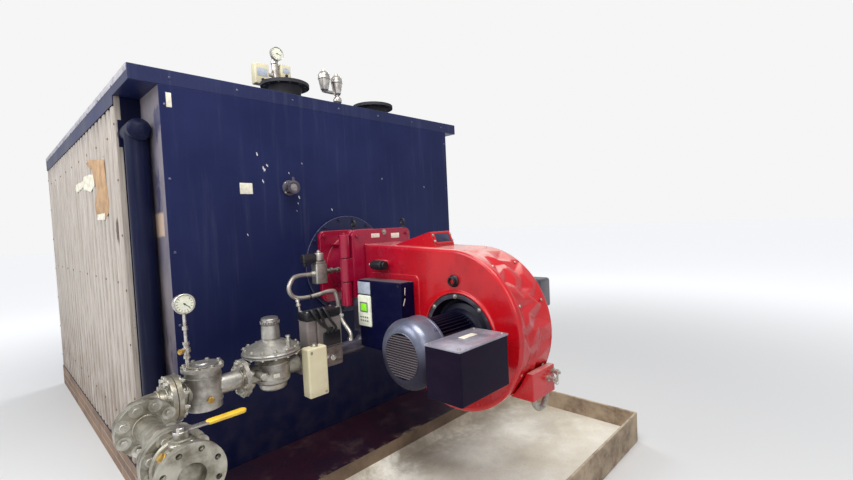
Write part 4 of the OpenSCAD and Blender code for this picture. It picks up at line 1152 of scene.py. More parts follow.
class BOILER_OT_fan_housing(bpy.types.Operator):
    """Makes the fan housing's skin with its knocked band, its flange, hood, foot and screws"""

    bl_idname = "boiler.fan_housing"
    bl_label = "Fan housing"

    def execute(self, context):
        looks = context.scene.boiler_burner
        left, right = corner("sight_plug", 1, "X") + 0.0003, corner("intake_box", 0, "X") - 0.0003
        piece("fan_shell", fan_shell(looks.dent_depth, left, right), "red",
              replaces=("fan_housing",), sharp=50)
        low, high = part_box("swing_flange")
        width, height = high[0] - low[0], high[2] - low[2]
        face, back = low[1] - 0.0303, low[1] - 0.0003
        centre = np.array([0, back, (low[2] + high[2]) / 2])
        rim = round_rect(width, height, 0.040, 12)
        piece("mating_flange", soft_plate(rim, centre, X, Z, back - face, 0.006), "crimson")
        piece("flange_seal", plate(round_rect(width - 0.012, height - 0.012, 0.036), centre + 0.0004 * Y,
                                   X, Z, [0, 0.0012], [0, 0]), "rubber")
        spots = [(x, z) for x in (-0.205, 0.205) for z in (-0.2, -0.07, 0.07, 0.2)] + [(0.012, 0.214)]
        places = [centre + (x, -0.030, z) for x, z in spots if not (x < 0 and abs(z) < 0.18)]
        piece("flange_bolts", stamped(bolt(0.017, 0.010, 0.0025), places[:-1], -Y), "crimson")
        piece("parting_bolt", stamped(bolt(0.017, 0.010, 0.0025), places[-1:], -Y), "zinc")
        for name, x, z, wide, tall in (("label_left", -0.060, 1.481, 0.066, 0.026),
                                       ("label_right", 0.105, 1.473, 0.070, 0.032)):
            card = round_rect(wide, tall, 0.002, 4)
            piece(name, soft_plate(card, (x, face - 0.0002, z), X, Z, 0.0012, 0.0004), "label")
        softened("window_hood", "sight_hood", "red", 0.004)
        softened("drain_foot", "drain_base", "red", 0.010)
        low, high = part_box("drain_foot")
        front = low[1] + 0.0005
        nipple = [(0.001, 0), (0.015, 0), (0.015, 0.010), (0.009, 0.012), (0.009, 0.020), (0.0135, 0.022), (0.0135, 0.034),
                  (0.008, 0.036), (0.008, 0.044), (0.001, 0.045)]
        spots = [(high[0] - 0.064, front, high[2] - 0.052), (high[0] - 0.022, front, high[2] - 0.030)]
        piece("drain_nipples", stamped(turned(nipple, (0, 0, 0), Z, 12), [spots[0], spots[1]], -Y), "zinc")
        link = [(spots[0][0], front - 0.030, spots[0][2] + 0.004), (spots[0][0] + 0.010, front - 0.034, spots[0][2] - 0.020),
                (spots[0][0] + 0.030, front - 0.034, spots[0][2] - 0.026), (spots[1][0], front - 0.030, spots[1][2] - 0.002)]
        piece("drain_link", tube(link, 0.0055, Y, 30, 12), "steel")
        low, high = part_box("hose_loop")
        radius = (high[0] - low[0]) / 2 - 0.008
        centre = np.array([(low[0] + high[0]) / 2, (low[1] + high[1]) / 2 - 0.008, high[2] + 0.006])
        turn = np.linspace(0, math.pi, 56)
        bow = centre + radius * np.outer(np.cos(turn), X) - np.outer(np.sin(turn) * radius * 1.32, Z)
        piece("drain_hose", swept(bow, circle(0.0145, 20), Y), "hose", replaces=("hose_loop",))
        ferrule = turned([(0.001, 0), (0.0170, 0), (0.0170, 0.022), (0.0150, 0.024), (0.001, 0.024)], (0, 0, 0), Z, 24)
        piece("hose_ferrules", stamped(ferrule, [centre + radius * X, centre - radius * X], -Z), "zinc")
        self.window()
        rivets = [(x, *self.on_scroll(a)) for x in (left + 0.045, left + 0.235) for a in (99, 126, 158, 204, 250)]
        heads = stamped(turned([(0.0001, 0.0035), (0.004, 0.003), (0.0062, 0.001), (0.0065, -0.001)],
                               (0, 0, 0), Z, 12), rivets, [self.out_from_scroll(r) for r in rivets])
        piece("band_screws", heads, "zinc")
        return {"FINISHED"}

    def on_scroll(self, angle):
        centre = np.array([corner("fan_housing", 0, "Y"), corner("fan_housing", 0, "Z")]) + SCROLL_RADIUS
        a = math.radians(angle)
        return centre + (SCROLL_RADIUS - 0.0015) * np.array([math.cos(a), math.sin(a)])

    def out_from_scroll(self, place):
        centre = np.array([corner("fan_housing", 0, "Y"), corner("fan_housing", 0, "Z")]) + SCROLL_RADIUS
        return unit(np.array([0, place[1] - centre[0], place[2] - centre[1]]))

    def window(self):
        """The sight window: dark glass on the hood's steep face, in a raised frame with two screws."""
        low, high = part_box("window_hood")
        foot, head = np.array([low[1], 1.424]), np.array([low[1] + 0.032, high[2]])
        slope = unit(np.array([0, *(head - foot)]))
        centre = np.array([(low[0] + high[0]) / 2, *(foot + head) / 2])
        out = np.cross(X, slope)
        glass = round_rect(0.118, 0.052, 0.004, 5)
        piece("window_glass", soft_plate(glass, centre + 0.001 * out, X, slope, 0.002, 0.0008), "glass")
        frame_path = round_rect(0.128, 0.062, 0.006, 6)
        path = centre + frame_path[:, :1] * X + frame_path[:, 1:] * slope + 0.002 * out
        bead = np.array([(-0.006, -0.002), (0.006, -0.002), (0.006, 0.002), (0.003, 0.0035), (-0.003, 0.0035),
                         (-0.006, 0.002)])
        piece("window_frame", swept(path, bead, out, closed=True), "red")
        screws = [centre + x * X + z * slope + 0.003 * out for x in (-0.070, 0.070) for z in (-0.018, 0.018)]
        piece("window_screws", stamped(bolt(0.009, 0.004, 0.001), screws, out), "zinc")


class BOILER_OT_motor(bpy.types.Operator):
    """Makes the motor's mounting bowl, finned frame and slatted cowl"""

    bl_idname = "boiler.motor"
    bl_label = "Motor"

    def execute(self, context):
        looks = context.scene.boiler_burner
        axis_y, axis_z = middle("motor_cowl")[1:]
        left = corner("sight_plug", 1, "X") + 0.0003
        base = np.array([left, axis_y, axis_z])
        bowl = [(0.10, -0.054), (0.176, -0.054), (0.186, -0.048), (0.192, -0.020), (0.1945, -0.012),
                (0.1950, 0.0010), (0.1965, 0.0022), (0.2150, 0.0022), (0.2170, 0.0010), (0.2175, -0.012),
                (0.2175, -0.058), (0.10, -0.058)]
        piece("motor_bowl", turned(bowl, base, -X, 96), "bowl", replaces=("motor_ring",))
        rim = circle(0.206, 96)
        path = base + rim[:, :1] * Y + rim[:, 1:] * Z - 0.0028 * X
        piece("motor_lip", swept(path, round_rect(0.022, 0.0030, 0.001, 3), -X, closed=True), "charcoal")
        bolts = ring_of(base - 0.0042 * X, -X, 0.206, 8, 0.05)
        piece("ring_bolts", stamped(bolt(0.012, 0.006, 0.0015), bolts, -X), "zinc")
        piece("motor_frame", self.frame(base, axis_y, axis_z), "motor", replaces=("motor_body",), sharp=30)
        self.cowl(axis_y, axis_z, looks.grille_bars)
        return {"FINISHED"}

    def frame(self, base, axis_y, axis_z):
        """A ribbed outline carried along X, between a flange in the bowl and the cowl's rear ring."""
        fins, root, tip, half = 44, 0.114, 0.131, 0.0022
        angle = np.arange(fins) * 2 * math.pi / fins
        steps = ((root, -2.6 * half / root), (tip - 0.001, -half / tip), (tip, -0.4 * half / tip),
                 (tip, 0.4 * half / tip), (tip - 0.001, half / tip), (root, 2.6 * half / root))
        radius = np.tile([s[0] for s in steps], fins)
        turn = np.repeat(angle, len(steps)) + np.tile([s[1] for s in steps], fins)
        ring = np.stack([radius * np.cos(turn), radius * np.sin(turn)], 1)
        start, end = base[0] - 0.004, corner("motor_cowl", 1, "X") + 0.001
        path = np.array([(start, axis_y, axis_z), ((start + end) / 2, axis_y, axis_z), (end, axis_y, axis_z)])
        shield = rounded_turn([(0.001, 0.052), (0.165, 0.052), (0.168, 0.036), (0.140, 0.028), (0.124, 0.004),
                               (0.124, -0.016), (0.001, -0.016)], base, X, 72, 0.004)
        return joined(swept(path, ring), shield)

    def cowl(self, axis_y, axis_z, bars):
        """A pressed cap turned about X, a dark disc inside it and slats across its mouth."""
        rear, front = corner("motor_cowl", 1, "X"), corner("motor_cowl", 0, "X")
        length, radius = rear - front, (corner("motor_cowl", 1, "Z") - corner("motor_cowl", 0, "Z")) / 2
        shoulder = 0.055
        bend = np.radians(np.linspace(0, 90, 14))
        arc = np.stack([radius - shoulder + shoulder * np.cos(bend), length - shoulder + shoulder * np.sin(bend)], 1)
        mouth = radius - shoulder
        profile = [(radius - 0.004, 0.001), (radius, 0.0), (radius, 0.010), (radius - 0.0015, 0.012),
                   (radius - 0.0015, 0.055), *arc[:-1], (mouth + 0.0045, length - 0.0012), (mouth + 0.003, length),
                   (mouth + 0.0005, length), (mouth - 0.001, length - 0.001), (mouth - 0.003, length - 0.006),
                   (mouth - 0.003, length - 0.020), (0.001, length - 0.020)]
        base = np.array([rear, axis_y, axis_z])
        piece("fan_cowl", turned(profile, base, -X, 96), "cowl", replaces=("motor_cowl",), sharp=35)
        heights = np.linspace(-1, 1, bars + 2)[1:-1] * (mouth - 0.004)
        half = np.sqrt((mouth - 0.002) ** 2 - heights**2)
        slats = [soft_box((front + 0.0005, axis_y - w, axis_z + h - 0.0026),
                          (front + 0.0095, axis_y + w, axis_z + h + 0.0026), 0.0011) for h, w in zip(heights, half)]
        piece("cowl_slats", joined(*slats), "slats")
        disc = turned([(0.001, 0.0005), (mouth - 0.004, 0.0005), (mouth - 0.004, -0.002)],
                      (front + 0.019, axis_y, axis_z), -X, 64)
        piece("cowl_inside", disc, "black")
        screws = ring_of(base - 0.022 * X, X, radius - 0.002, 4, 0.5)
        outs = unit(screws - (base - 0.022 * X))
        piece("cowl_screws", stamped(bolt(0.010, 0.004, 0.0015), screws, outs), "worn_paint")


class BOILER_OT_control_gear(bpy.types.Operator):
    """Makes the inverter, the control box with its panel, the flame sensor, sight plug and damper box"""

    bl_idname = "boiler.control_gear"
    bl_label = "Control gear"

    def execute(self, context):
        self.inverter()
        self.control_box()
        self.sensors()
        return {"FINISHED"}

    def inverter(self):
        softened("inverter", "inverter_case", "inverter", 0.004)
        low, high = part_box("inverter")
        front = low[1] + 0.188
        top = np.array([(low[0] + high[0]) / 2, (low[1] + front) / 2, high[2]])
        lid = round_rect(high[0] - low[0] + 0.003, front - low[1] + 0.003, 0.004, 6)
        piece("inverter_lid", soft_plate(lid, top - 0.0065 * Z, X, Y, 0.0085, 0.002), "lid_grey")
        card = round_rect(0.092, 0.034, 0.002, 4)
        piece("inverter_label", soft_plate(card, top + (0.03, 0.020, 0.0021), X, Y, 0.001, 0.0004), "label")
        corners = [top + (x, y, 0.0018) for x in (-0.145, 0.145) for y in (-0.076, 0.076)]
        piece("inverter_screws", stamped(bolt(0.009, 0.003, 0.001), corners, Z), "zinc")
        glands = [(low[0] + x, low[1] + 0.09, low[2] + 0.001) for x in (0.07, 0.12, 0.17)]
        piece("inverter_glands", stamped(turned([(0.012, 0), (0.012, 0.010), (0.009, 0.013), (0.009, 0.021),
                                                 (0.001, 0.021)], (0, 0, 0), Z, 16), glands, -Z), "black")

    def control_box(self):
        """The cover with its front face in two steps, the cream panel with its screen and keys."""
        low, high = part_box("control_box")
        size = np.array(high - low)
        centre = np.array([low[0], (low[1] + high[1]) / 2, (low[2] + high[2]) / 2])
        shell = round_rect(size[1], size[2], 0.012, 8)
        depth = size[0]
        body = plate(shell, centre + depth * X, -Y, Z, [0, 0, depth * 0.28, depth * 0.29, depth * 0.30,
                     depth - 0.010, depth - 0.004, depth - 0.0012, depth],
                     [0.004, 0.0035, 0.0035, 0.001, 0, 0, 0.0012, 0.004, 0.010])
        piece("control_case", body, "control", replaces=("control_box",))
        face = low[0]
        panel_low, panel_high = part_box("display_unit")
        y_rear, y_front = panel_high[1], panel_low[1]
        middle_y = (y_rear + y_front) / 2
        wide = y_rear - y_front
        panel_z = control_panel_z = panel_low[2] + 0.090
        card = round_rect(wide, 0.180, 0.010, 6)
        piece("display_panel", plate(card, (face - 0.0002, middle_y, panel_z), -Y, Z,
              [0, 0, 0.003, 0.007, 0.0088], [0.001, 0, 0, 0.002, 0.006]), "cream", replaces=("display_unit",))
        badge = round_rect(wide - 0.004, 0.070, 0.003, 4)
        piece("grey_badge", soft_plate(badge, (face - 0.0002, middle_y, panel_low[2] + 0.222), -Y, Z, 0.0035, 0.001),
              "grey_plate")
        at = np.array([face - 0.0090, middle_y, control_panel_z])
        bezel = round_rect(0.070, 0.058, 0.004, 4)
        piece("screen_bezel", soft_plate(bezel, at + 0.022 * Z, -Y, Z, 0.0016, 0.0006), "key")
        screen = round_rect(0.052, 0.042, 0.002, 4)
        piece("screen", soft_plate(screen, at + (-0.0015, 0, 0.022), -Y, Z, 0.0012, 0.0004), "screen")
        key = soft_plate(round_rect(0.013, 0.009, 0.002, 4), (0, 0, 0), X, Y, 0.0022, 0.0008)
        places = [at + (0, y, z) for y in (-0.030, -0.010, 0.010, 0.030) for z in (-0.036, -0.056)]
        piece("panel_keys", stamped(key, places, -X), "key")
        screws = [(face - 0.0001, low[1] + 0.020, z) for z in (low[2] + 0.02, high[2] - 0.02)]
        piece("control_screws", stamped(bolt(0.008, 0.003, 0.001), screws, -X), "black")
        for name, x, z, turn in (("scuff_tag_a", 0.030, 0.048, 0.10), ("scuff_tag_b", 0.022, 0.105, 0.35)):
            tall = np.array([math.sin(turn), 0, math.cos(turn)])
            tag = round_rect(0.006, 0.040, 0.0028, 5)
            spot = (low[0] + x, low[1] + 0.0002, high[2] - z)
            piece(name, soft_plate(tag, spot, np.cross(tall, Y) * -1, tall, 0.0014, 0.0004), "label")
        left = corner("sight_plug", 1, "X") + 0.0003
        pad_y = (high[1] + 0.010 + low[1] - 0.035) / 2
        pad = round_rect(high[1] + 0.010 - low[1] + 0.035, 0.455, 0.030, 10)
        piece("rear_pad", plate(pad, (left + 0.001, pad_y, low[2] + 0.196), -Y, Z, [0, 0.002, 0.0040, 0.0048, 0.0050],
                                [-0.003, 0, 0.001, 0.0035, 0.008]), "red")

    def sensors(self):
        low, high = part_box("flame_sensor")
        y_front, y_rear, z = low[1], high[1], (low[2] + high[2]) / 2
        x = low[0] + 0.028
        body = rounded_turn([(0.001, 0), (0.021, 0), (0.0225, 0.003), (0.0225, 0.022), (0.0275, 0.024), (0.0275, 0.108),
                             (0.024, 0.112), (0.019, 0.112), (0.019, 0.116), (0.001, 0.116)],
                            (x, y_front, z), Y, 32, 0.002)
        ribs = [turned([(0.0225, h), (0.0245, h), (0.0245, h + 0.0025), (0.0225, h + 0.0025)],
                       (x, y_front, z), Y, 32) for h in (0.004, 0.009, 0.014, 0.019)]
        piece("flame_sensor_body", joined(body, *ribs), "black", replaces=("flame_sensor",))
        tip = rounded_turn([(0.001, 0.116), (0.012, 0.116), (0.012, 0.128), (0.009, 0.130), (0.011, 0.136),
                            (0.008, 0.147), (0.001, 0.149)], (x, y_front, z), Y, 24, 0.002)
        piece("sensor_tip", tip, "steel")
        left = corner("sight_plug", 1, "X")
        boss = round_rect(0.132, 0.052, 0.025, 12)
        reach = left - x + 0.0015
        piece("sensor_boss", plate(boss, (left + 0.0018, y_front + 0.078, z), -Y, Z, [0, reach * 0.6, reach * 0.9, reach],
                                   [0, 0.001, 0.004, 0.010]), "red")
        low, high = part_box("sight_plug")
        base = np.array([high[0], (low[1] + high[1]) / 2, (low[2] + high[2]) / 2])
        plug = rounded_turn([(0.031, 0), (0.031, 0.006), (0.027, 0.010), (0.0235, 0.0105), (0.0235, 0.0245),
                             (0.019, 0.026), (0.0155, 0.026), (0.014, 0.014), (0.001, 0.014)], base, -X, 40, 0.0015)
        piece("sight_plug_cap", plug, "black", replaces=("sight_plug",))
        piece("sight_plug_eye", turned([(0.0135, 0), (0.0135, 0.0145), (0.0005, 0.0165)], base, -X, 24), "red")
        low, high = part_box("intake_box")
        size = high - low
        case = plate(round_rect(size[1], size[2], 0.014, 8), (low[0], (low[1] + high[1]) / 2, (low[2] + high[2]) / 2), Y, Z,
                     [0, 0.05, 0.051, 0.053, size[0] - 0.006, size[0] - 0.0015, size[0]],
                     [0.002, 0.002, 0, 0, 0, 0.002, 0.006])
        piece("damper_box", case, "charcoal", replaces=("intake_box",))


def bolted(centre, axis, radius, half, count, across=0.024, first=0.5):
    """Bolt heads on one side of a flange pair and nuts with their threads on the other."""
    axis = unit(axis)
    heads = ring_of(np.asarray(centre) + half * axis, axis, radius, count, first)
    nuts = ring_of(np.asarray(centre) - half * axis, axis, radius, count, first)
    return joined(stamped(bolt(across, across * 0.5), heads, axis),
                  stamped(bolt(across, across * 0.62, stub=across * 0.35), nuts, -axis))


def weld_bead(centre, axis, radius, thick=0.005):
    """A rippled ring of weld: a small circle carried round the pipe, its size swelling in steps."""
    side, other = basis(unit(axis))
    angle = np.linspace(0, 2 * math.pi, 96, endpoint=False)
    ring = np.asarray(centre) + radius * (np.outer(np.cos(angle), side) + np.outer(np.sin(angle), other))
    swell = 1 + 0.16 * np.sin(angle * 34)
    out = unit(ring - np.asarray(centre))
    turn = np.linspace(0, 2 * math.pi, 8, endpoint=False)
    rows = (ring[:, None] + thick * swell[:, None, None]
            * (np.cos(turn)[None, :, None] * out[:, None] + np.sin(turn)[None, :, None] * unit(axis)))
    return strip(rows, round_rows=True, round_each=True)


def dial(centre, axis, radius, ticks=11, needle=220.0):
    """Gauge face: a white disc, its ticks round three quarters of the rim and a needle. The three
    shapes are given back apart."""
    side, other = basis(unit(axis))
    axis = unit(axis)
    face = turned([(0.0005, 0.0012), (radius, 0.0012), (radius, 0)], centre, axis, 48)
    marks = []
    for share in np.linspace(0, 1, ticks):
        a = math.radians(225 - 270 * share)
        up = math.cos(a) * side + math.sin(a) * other
        across = np.cross(axis, up)
        marks.append(plate(round_rect(radius * 0.05, radius * 0.22, 0.0003, 2),
                           np.asarray(centre) + radius * 0.82 * up + 0.0013 * axis, across, -up, [0, 0.0006], [0, 0]))
    a = math.radians(needle)
    up = math.cos(a) * side + math.sin(a) * other
    across = np.cross(axis, up)
    hand = plate(round_rect(radius * 0.07, radius * 0.95, radius * 0.03, 3),
                 np.asarray(centre) + radius * 0.28 * up + 0.0022 * axis, across, -up, [0, 0.0008], [0, 0])
    hub = turned([(radius * 0.1, 0.0012), (radius * 0.1, 0.0036), (0.0004, 0.0038)], centre, axis, 16)
    return face, joined(*marks), joined(hand, hub)


class BOILER_OT_inlet_run(bpy.types.Operator):
    """Makes the gas inlet's flanges, ball valve, lever, bends, bolts and welds"""

    bl_idname = "boiler.inlet_run"
    bl_label = "Gas inlet run"

    def execute(self, context):
        softened("gas_inlet_valve", "inlet_valve_body", "flange", 0.0025)
        softened("gas_inlet_elbow", "inlet_bend", "flange", 0.0025)
        low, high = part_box("gas_inlet_valve")
        x, z, face = (low[0] + high[0]) / 2, low[2] + 0.1, low[1]
        bend_low, bend_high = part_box("gas_inlet_elbow")
        axis_y = bend_high[1] - 0.1
        bolts = joined(
            bolted((x, face + 0.1615, z), -Y, 0.080, 0.0216, 8),
            bolted((x, face + 0.510, z), -Y, 0.080, 0.0216, 8),
            bolted((-1.25, axis_y, z), -X, 0.080, 0.0216, 8))
        piece("inlet_bolts", bolts, "zinc")
        beads = joined(
            weld_bead((x, face + 0.1845, z), Y, 0.0455), weld_bead((x, face + 0.4870, z), Y, 0.0455),
            weld_bead((x, face + 0.5330, z), Y, 0.0455), weld_bead((-1.2730, axis_y, z), X, 0.0455),
            weld_bead((-1.2270, axis_y, z), X, 0.0455),
            weld_bead((x, axis_y - 0.095, z), Y, 0.0450), weld_bead((x + 0.095, axis_y, z), X, 0.0450))
        piece("inlet_welds", beads, "flange", sharp=60)
        gaskets = joined(
            turned([(0.077, -0.0014), (0.0965, -0.0014), (0.0965, 0.0014), (0.077, 0.0014)], (x, face + 0.1615, z), Y, 64),
            turned([(0.077, -0.0014), (0.0965, -0.0014), (0.0965, 0.0014), (0.077, 0.0014)], (x, face + 0.510, z), Y, 64),
            turned([(0.077, -0.0014), (0.0965, -0.0014), (0.0965, 0.0014), (0.077, 0.0014)], (-1.25, axis_y, z), X, 64))
        piece("inlet_gaskets", gaskets, "rubber")
        centre = np.array([x, face + 0.080, z])
        collars = [rounded_turn([(0.001, h), (0.078, h), (0.082, h + t * 0.3), (0.082, h + t * 0.7), (0.078, h + t), (0.001, h + t)],
                                centre, Y, 64, 0.002) for h, t in ((-0.050, 0.020), (0.030, 0.020))]
        piece("valve_shoulders", joined(*collars), "flange")
        bonnet = rounded_turn([(0.001, 0.050), (0.036, 0.050), (0.036, 0.078), (0.030, 0.084), (0.030, 0.092), (0.016, 0.094),
                               (0.016, 0.107), (0.001, 0.107)], centre, Z, 40, 0.002)
        piece("valve_bonnet", bonnet, "flange")
        screws = ring_of(centre + 0.078 * Z, Z, 0.0315, 4, 0.5)
        piece("bonnet_screws", stamped(bolt(0.009, 0.006, 0.001), screws, Z), "zinc")
        drain = turned([(0.001, 0), (0.0155, 0), (0.0155, 0.004), (0.0125, 0.005), (0.0125, 0.013), (0.001, 0.0135)],
                       centre + (-0.0545, -0.010, 0.0545), unit(-X + Z), 6)
        piece("valve_plug", drain, "brass", sharp=30)
        self.lever()
        return {"FINISHED"}

    def lever(self):
        """A bright blade on the stem, with a yellow dipped grip on its outer two thirds."""
        low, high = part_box("gas_lever")
        body = frame["nodes"]["gas_lever"]["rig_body"]
        x, y, z = low[0] + 0.023, (low[1] + high[1]) / 2, low[2]
        reach = high[0] - x
        blade = round_rect(reach + 0.012, 0.025, 0.006, 5) + [reach / 2 - 0.008, 0]
        hub = turned([(0.001, 0), (0.022, 0), (0.023, 0.001), (0.023, 0.007), (0.022, 0.008), (0.001, 0.008)], (x, y, z), Z, 40)
        nut, faces = hexagon(0.022, 0.009)
        shape = joined(soft_plate(blade, (x, y, z + 0.0005), X, Y, 0.007, 0.0012), hub, (nut + (x, y, z + 0.008), faces))
        piece("lever_blade", shape, "steel", body, ("gas_lever",))
        grip_length = reach * 0.64
        grip = round_rect(grip_length, 0.030, 0.0145, 9) + [reach - grip_length / 2, 0]
        piece("lever_grip", plate(grip, (x, y, z - 0.002), X, Y, [0, 0.001, 0.003, 0.009, 0.011, 0.012],
                                  [0.004, 0.0015, 0, 0, 0.0015, 0.004]), "yellow", body, ("gas_lever",))


class BOILER_OT_gas_train(bpy.types.Operator):
    """Makes the gas filter, its gauge, the regulator, the valve block and its drive"""

    bl_idname = "boiler.gas_train"
    bl_label = "Gas train"

    def execute(self, context):
        softened("gas_filter", "filter_body", "alloy", 0.003)
        softened("gas_regulator", "regulator_body", "alloy", 0.002)
        softened("gas_riser", "gas_riser_pipe", "charcoal", 0.003)
        self.filter_and_gauge()
        self.regulator()
        self.valve_block()
        return {"FINISHED"}

    def filter_and_gauge(self):
        low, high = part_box("gas_filter")
        centre = np.array([-1.120, (low[1] + high[1]) / 2, 0.838])
        cover = rounded_turn([(0.001, 0.110), (0.060, 0.1115), (0.066, 0.1175), (0.030, 0.119), (0.026, 0.124), (0.001, 0.124)],
                             centre, Z, 64, 0.002)
        piece("filter_cover", cover, "alloy")
        places = ring_of(centre + 0.112 * Z, Z, 0.077, 8, 0.25)
        piece("filter_bolts", stamped(bolt(0.015, 0.009, 0.002), places, Z), "zinc")
        plug, faces = hexagon(0.026, 0.014)
        piece("filter_plug", stamped((plug, faces), [centre + (0.0, -0.0735, -0.030)], -Y), "brass", sharp=30)
        ribs = [rounded_turn([(0.001, h), (0.0785, h), (0.0785, h + 0.008), (0.001, h + 0.008)], centre, Z, 64, 0.002)
                for h in (-0.052, 0.062)]
        piece("filter_ribs", joined(*ribs), "alloy")
        piece("filter_joint_bolts", bolted((-0.9453, centre[1], 0.838), -X, 0.0725, 0.0092, 8, 0.020), "zinc")
        piece("filter_welds", joined(weld_bead((-1.197, centre[1], 0.838), X, 0.0450), weld_bead((-0.957, centre[1], 0.838), X, 0.0450)),
              "flange", sharp=60)
        low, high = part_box("gas_gauge")
        base = np.array([(low[0] + high[0]) / 2, centre[1], low[2]])
        stem = [(0.001, 0), (0.013, 0), (0.013, 0.012), (0.008, 0.013), (0.008, 0.046), (0.014, 0.047), (0.014, 0.060),
                (0.011, 0.061), (0.011, 0.072), (0.0165, 0.074), (0.0165, 0.094), (0.011, 0.096), (0.011, 0.106), (0.014, 0.108),
                (0.014, 0.120), (0.007, 0.122), (0.007, 0.172), (0.012, 0.174), (0.012, 0.190), (0.0075, 0.192), (0.0075, 0.250),
                (0.001, 0.250)]
        piece("gauge_stem", turned(stem, base, Z, 20), "steel", replaces=("gas_gauge",))
        tap = rounded_turn([(0.001, 0.010), (0.007, 0.010), (0.007, 0.026), (0.012, 0.027), (0.012, 0.040), (0.001, 0.042)],
                           base + 0.084 * Z, unit(-X - 0.6 * Y), 16, 0.001)
        piece("gauge_tap", tap, "brass")
        middle_z = high[2] - 0.046
        back = np.array([base[0], high[1], middle_z])
        case = rounded_turn([(0.001, 0), (0.040, 0), (0.043, 0.006), (0.043, 0.026), (0.046, 0.028), (0.046, 0.037), (0.043, 0.040),
                             (0.040, 0.040), (0.0385, 0.034), (0.001, 0.034)], back, -Y, 64, 0.0015)
        piece("gauge_case", case, "steel", replaces=("gas_gauge",))
        face, marks, hand = dial(back - 0.0341 * Y, -Y, 0.038, 13, 140)
        piece("gauge_face", face, "cream")
        piece("gauge_marks", joined(marks, hand), "black")

    def regulator(self):
        low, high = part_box("gas_regulator")
        axis_y = -0.418
        centre = np.array([-0.790, axis_y, 0])
        radius = 0.142
        places = ring_of(centre + 0.9565 * Z, Z, radius - 0.012, 14, 0.3)
        piece("regulator_bolts", stamped(bolt(0.013, 0.008, 0.0015), places, Z), "zinc")
        under = ring_of(centre + 0.9255 * Z, Z, radius - 0.007, 14, 0.3)
        piece("regulator_nuts", stamped(bolt(0.012, 0.007, 0.001), under, -Z), "zinc")
        seam = rounded_turn([(radius - 0.010, 0.9335), (radius + 0.0018, 0.9335), (radius + 0.0018, 0.9365), (radius - 0.010, 0.9365)],
                            centre, Z, 96, 0.0008)
        piece("diaphragm", seam, "rubber")
        tower = [(0.0458, 0.995), (0.0458, 1.003), (0.0435, 1.005), (0.0432, 1.072), (0.0455, 1.075), (0.0455, 1.088), (0.0435, 1.090),
                 (0.0400, 1.105), (0.030, 1.109), (0.001, 1.110)]
        piece("spring_tower", turned(tower, centre, Z, 64), "tower")
        notches = 22
        angle = np.arange(notches) * 2 * math.pi / notches
        grips = centre + 1.0815 * Z + 0.0452 * np.stack([np.cos(angle), np.sin(angle), angle * 0], 1)
        outs = np.stack([np.cos(angle), np.sin(angle), angle * 0], 1)
        piece("tower_grip", stamped(soft_box((-0.0022, -0.0055, 0), (0.0022, 0.0055, 0.0022), 0.0008), grips, outs), "steel")
        lower = [rounded_turn([(0.001, h), (r, h), (r, h + 0.006), (0.001, h + 0.006)], centre, Z, 72, 0.002)
                 for r, h in ((0.0865, 0.868), (0.0865, 0.800), (0.0600, 0.748))]
        piece("regulator_ribs", joined(*lower), "alloy")
        plug, faces = hexagon(0.030, 0.012)
        piece("regulator_plugs", stamped((plug, faces), [centre + (-0.062, -0.058, 0.838), (-0.890, axis_y - 0.1095, 0.852)],
                                         [unit(-X - 0.93 * Y), -Y]), "zinc", sharp=30)
        facing = unit(np.array([-0.25, -1, 0]))
        sideways = np.cross(Z, facing)
        card = round_rect(0.030, 0.020, 0.002, 4)
        piece("regulator_plate", soft_plate(card, centre + 0.0845 * facing + 0.828 * Z, sideways, Z, 0.0022, 0.0006), "label")
        ear = turned([(0.001, 0.0), (0.0125, 0.0), (0.0125, 0.010), (0.008, 0.011), (0.008, 0.020), (0.012, 0.022), (0.012, 0.031),
                      (0.001, 0.032)], (-0.750, axis_y + 0.04 - radius, 0.990), Z, 6)
        piece("breather", ear, "zinc", sharp=30)

    def valve_block(self):
        low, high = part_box("gas_valve_block")
        front, rear = low[1], high[1]
        left, right = low[0], high[0]
        shaft = 0.838
        body = soft_box((left, front, low[2]), (right, rear, shaft + 0.048), 0.009)
        piece("valve_casting", body, "dull_body", replaces=("gas_valve_block",))
        square = plate(round_rect(0.094, 0.094, 0.020, 8), (left + 0.001, -0.418, shaft), Y, Z, [0, 0.002, 0.014, 0.016],
                       [0.002, 0, 0, 0.002])
        corners = np.radians(np.arange(6) * 60 + 12)
        union = plate(0.062 * np.stack([np.cos(corners), np.sin(corners)], 1), (right - 0.058, -0.418, shaft - 0.012), Y, Z,
                      [0, 0.003, 0.036, 0.039], [0.006, 0, 0, 0.006])
        piece("valve_ends", joined(square, union), "dull_body", sharp=30)
        spots = [(x, -0.418 + y, shaft + z) for x in (left + 0.017, right - 0.017) for y in (-0.036, 0.036) for z in (-0.036, 0.036)]
        outs = [X if s[0] < -0.5 else -X for s in spots]
        piece("valve_end_screws", stamped(bolt(0.011, 0.008, 0.001), spots, outs), "zinc")
        plugs = [(left + 0.150, front + 0.001, shaft + 0.004), (left + 0.195, front + 0.001, shaft - 0.012)]
        round_plug = rounded_turn([(0.001, 0), (0.018, 0), (0.018, 0.006), (0.011, 0.007), (0.011, 0.016), (0.001, 0.017)],
                                  (0, 0, 0), Z, 24, 0.001)
        piece("valve_plugs", stamped(round_plug, plugs, -Y), "zinc")
        coil_low, coil_high = shaft + 0.048, high[2] - 0.046
        for name, x0, x1 in (("coil_left", left + 0.047, left + 0.106), ("coil_right", left + 0.108, right + 0.029 - 0.0)):
            coil = soft_box((x0, front + 0.004, coil_low), (min(x1, right - 0.0), rear - 0.004, coil_high), 0.007)
            piece(name, coil, "coil_grey")
        lid = soft_box((left + 0.041, front, coil_high - 0.001), (right, rear, high[2]), 0.010)
        piece("valve_lid", lid, "black")
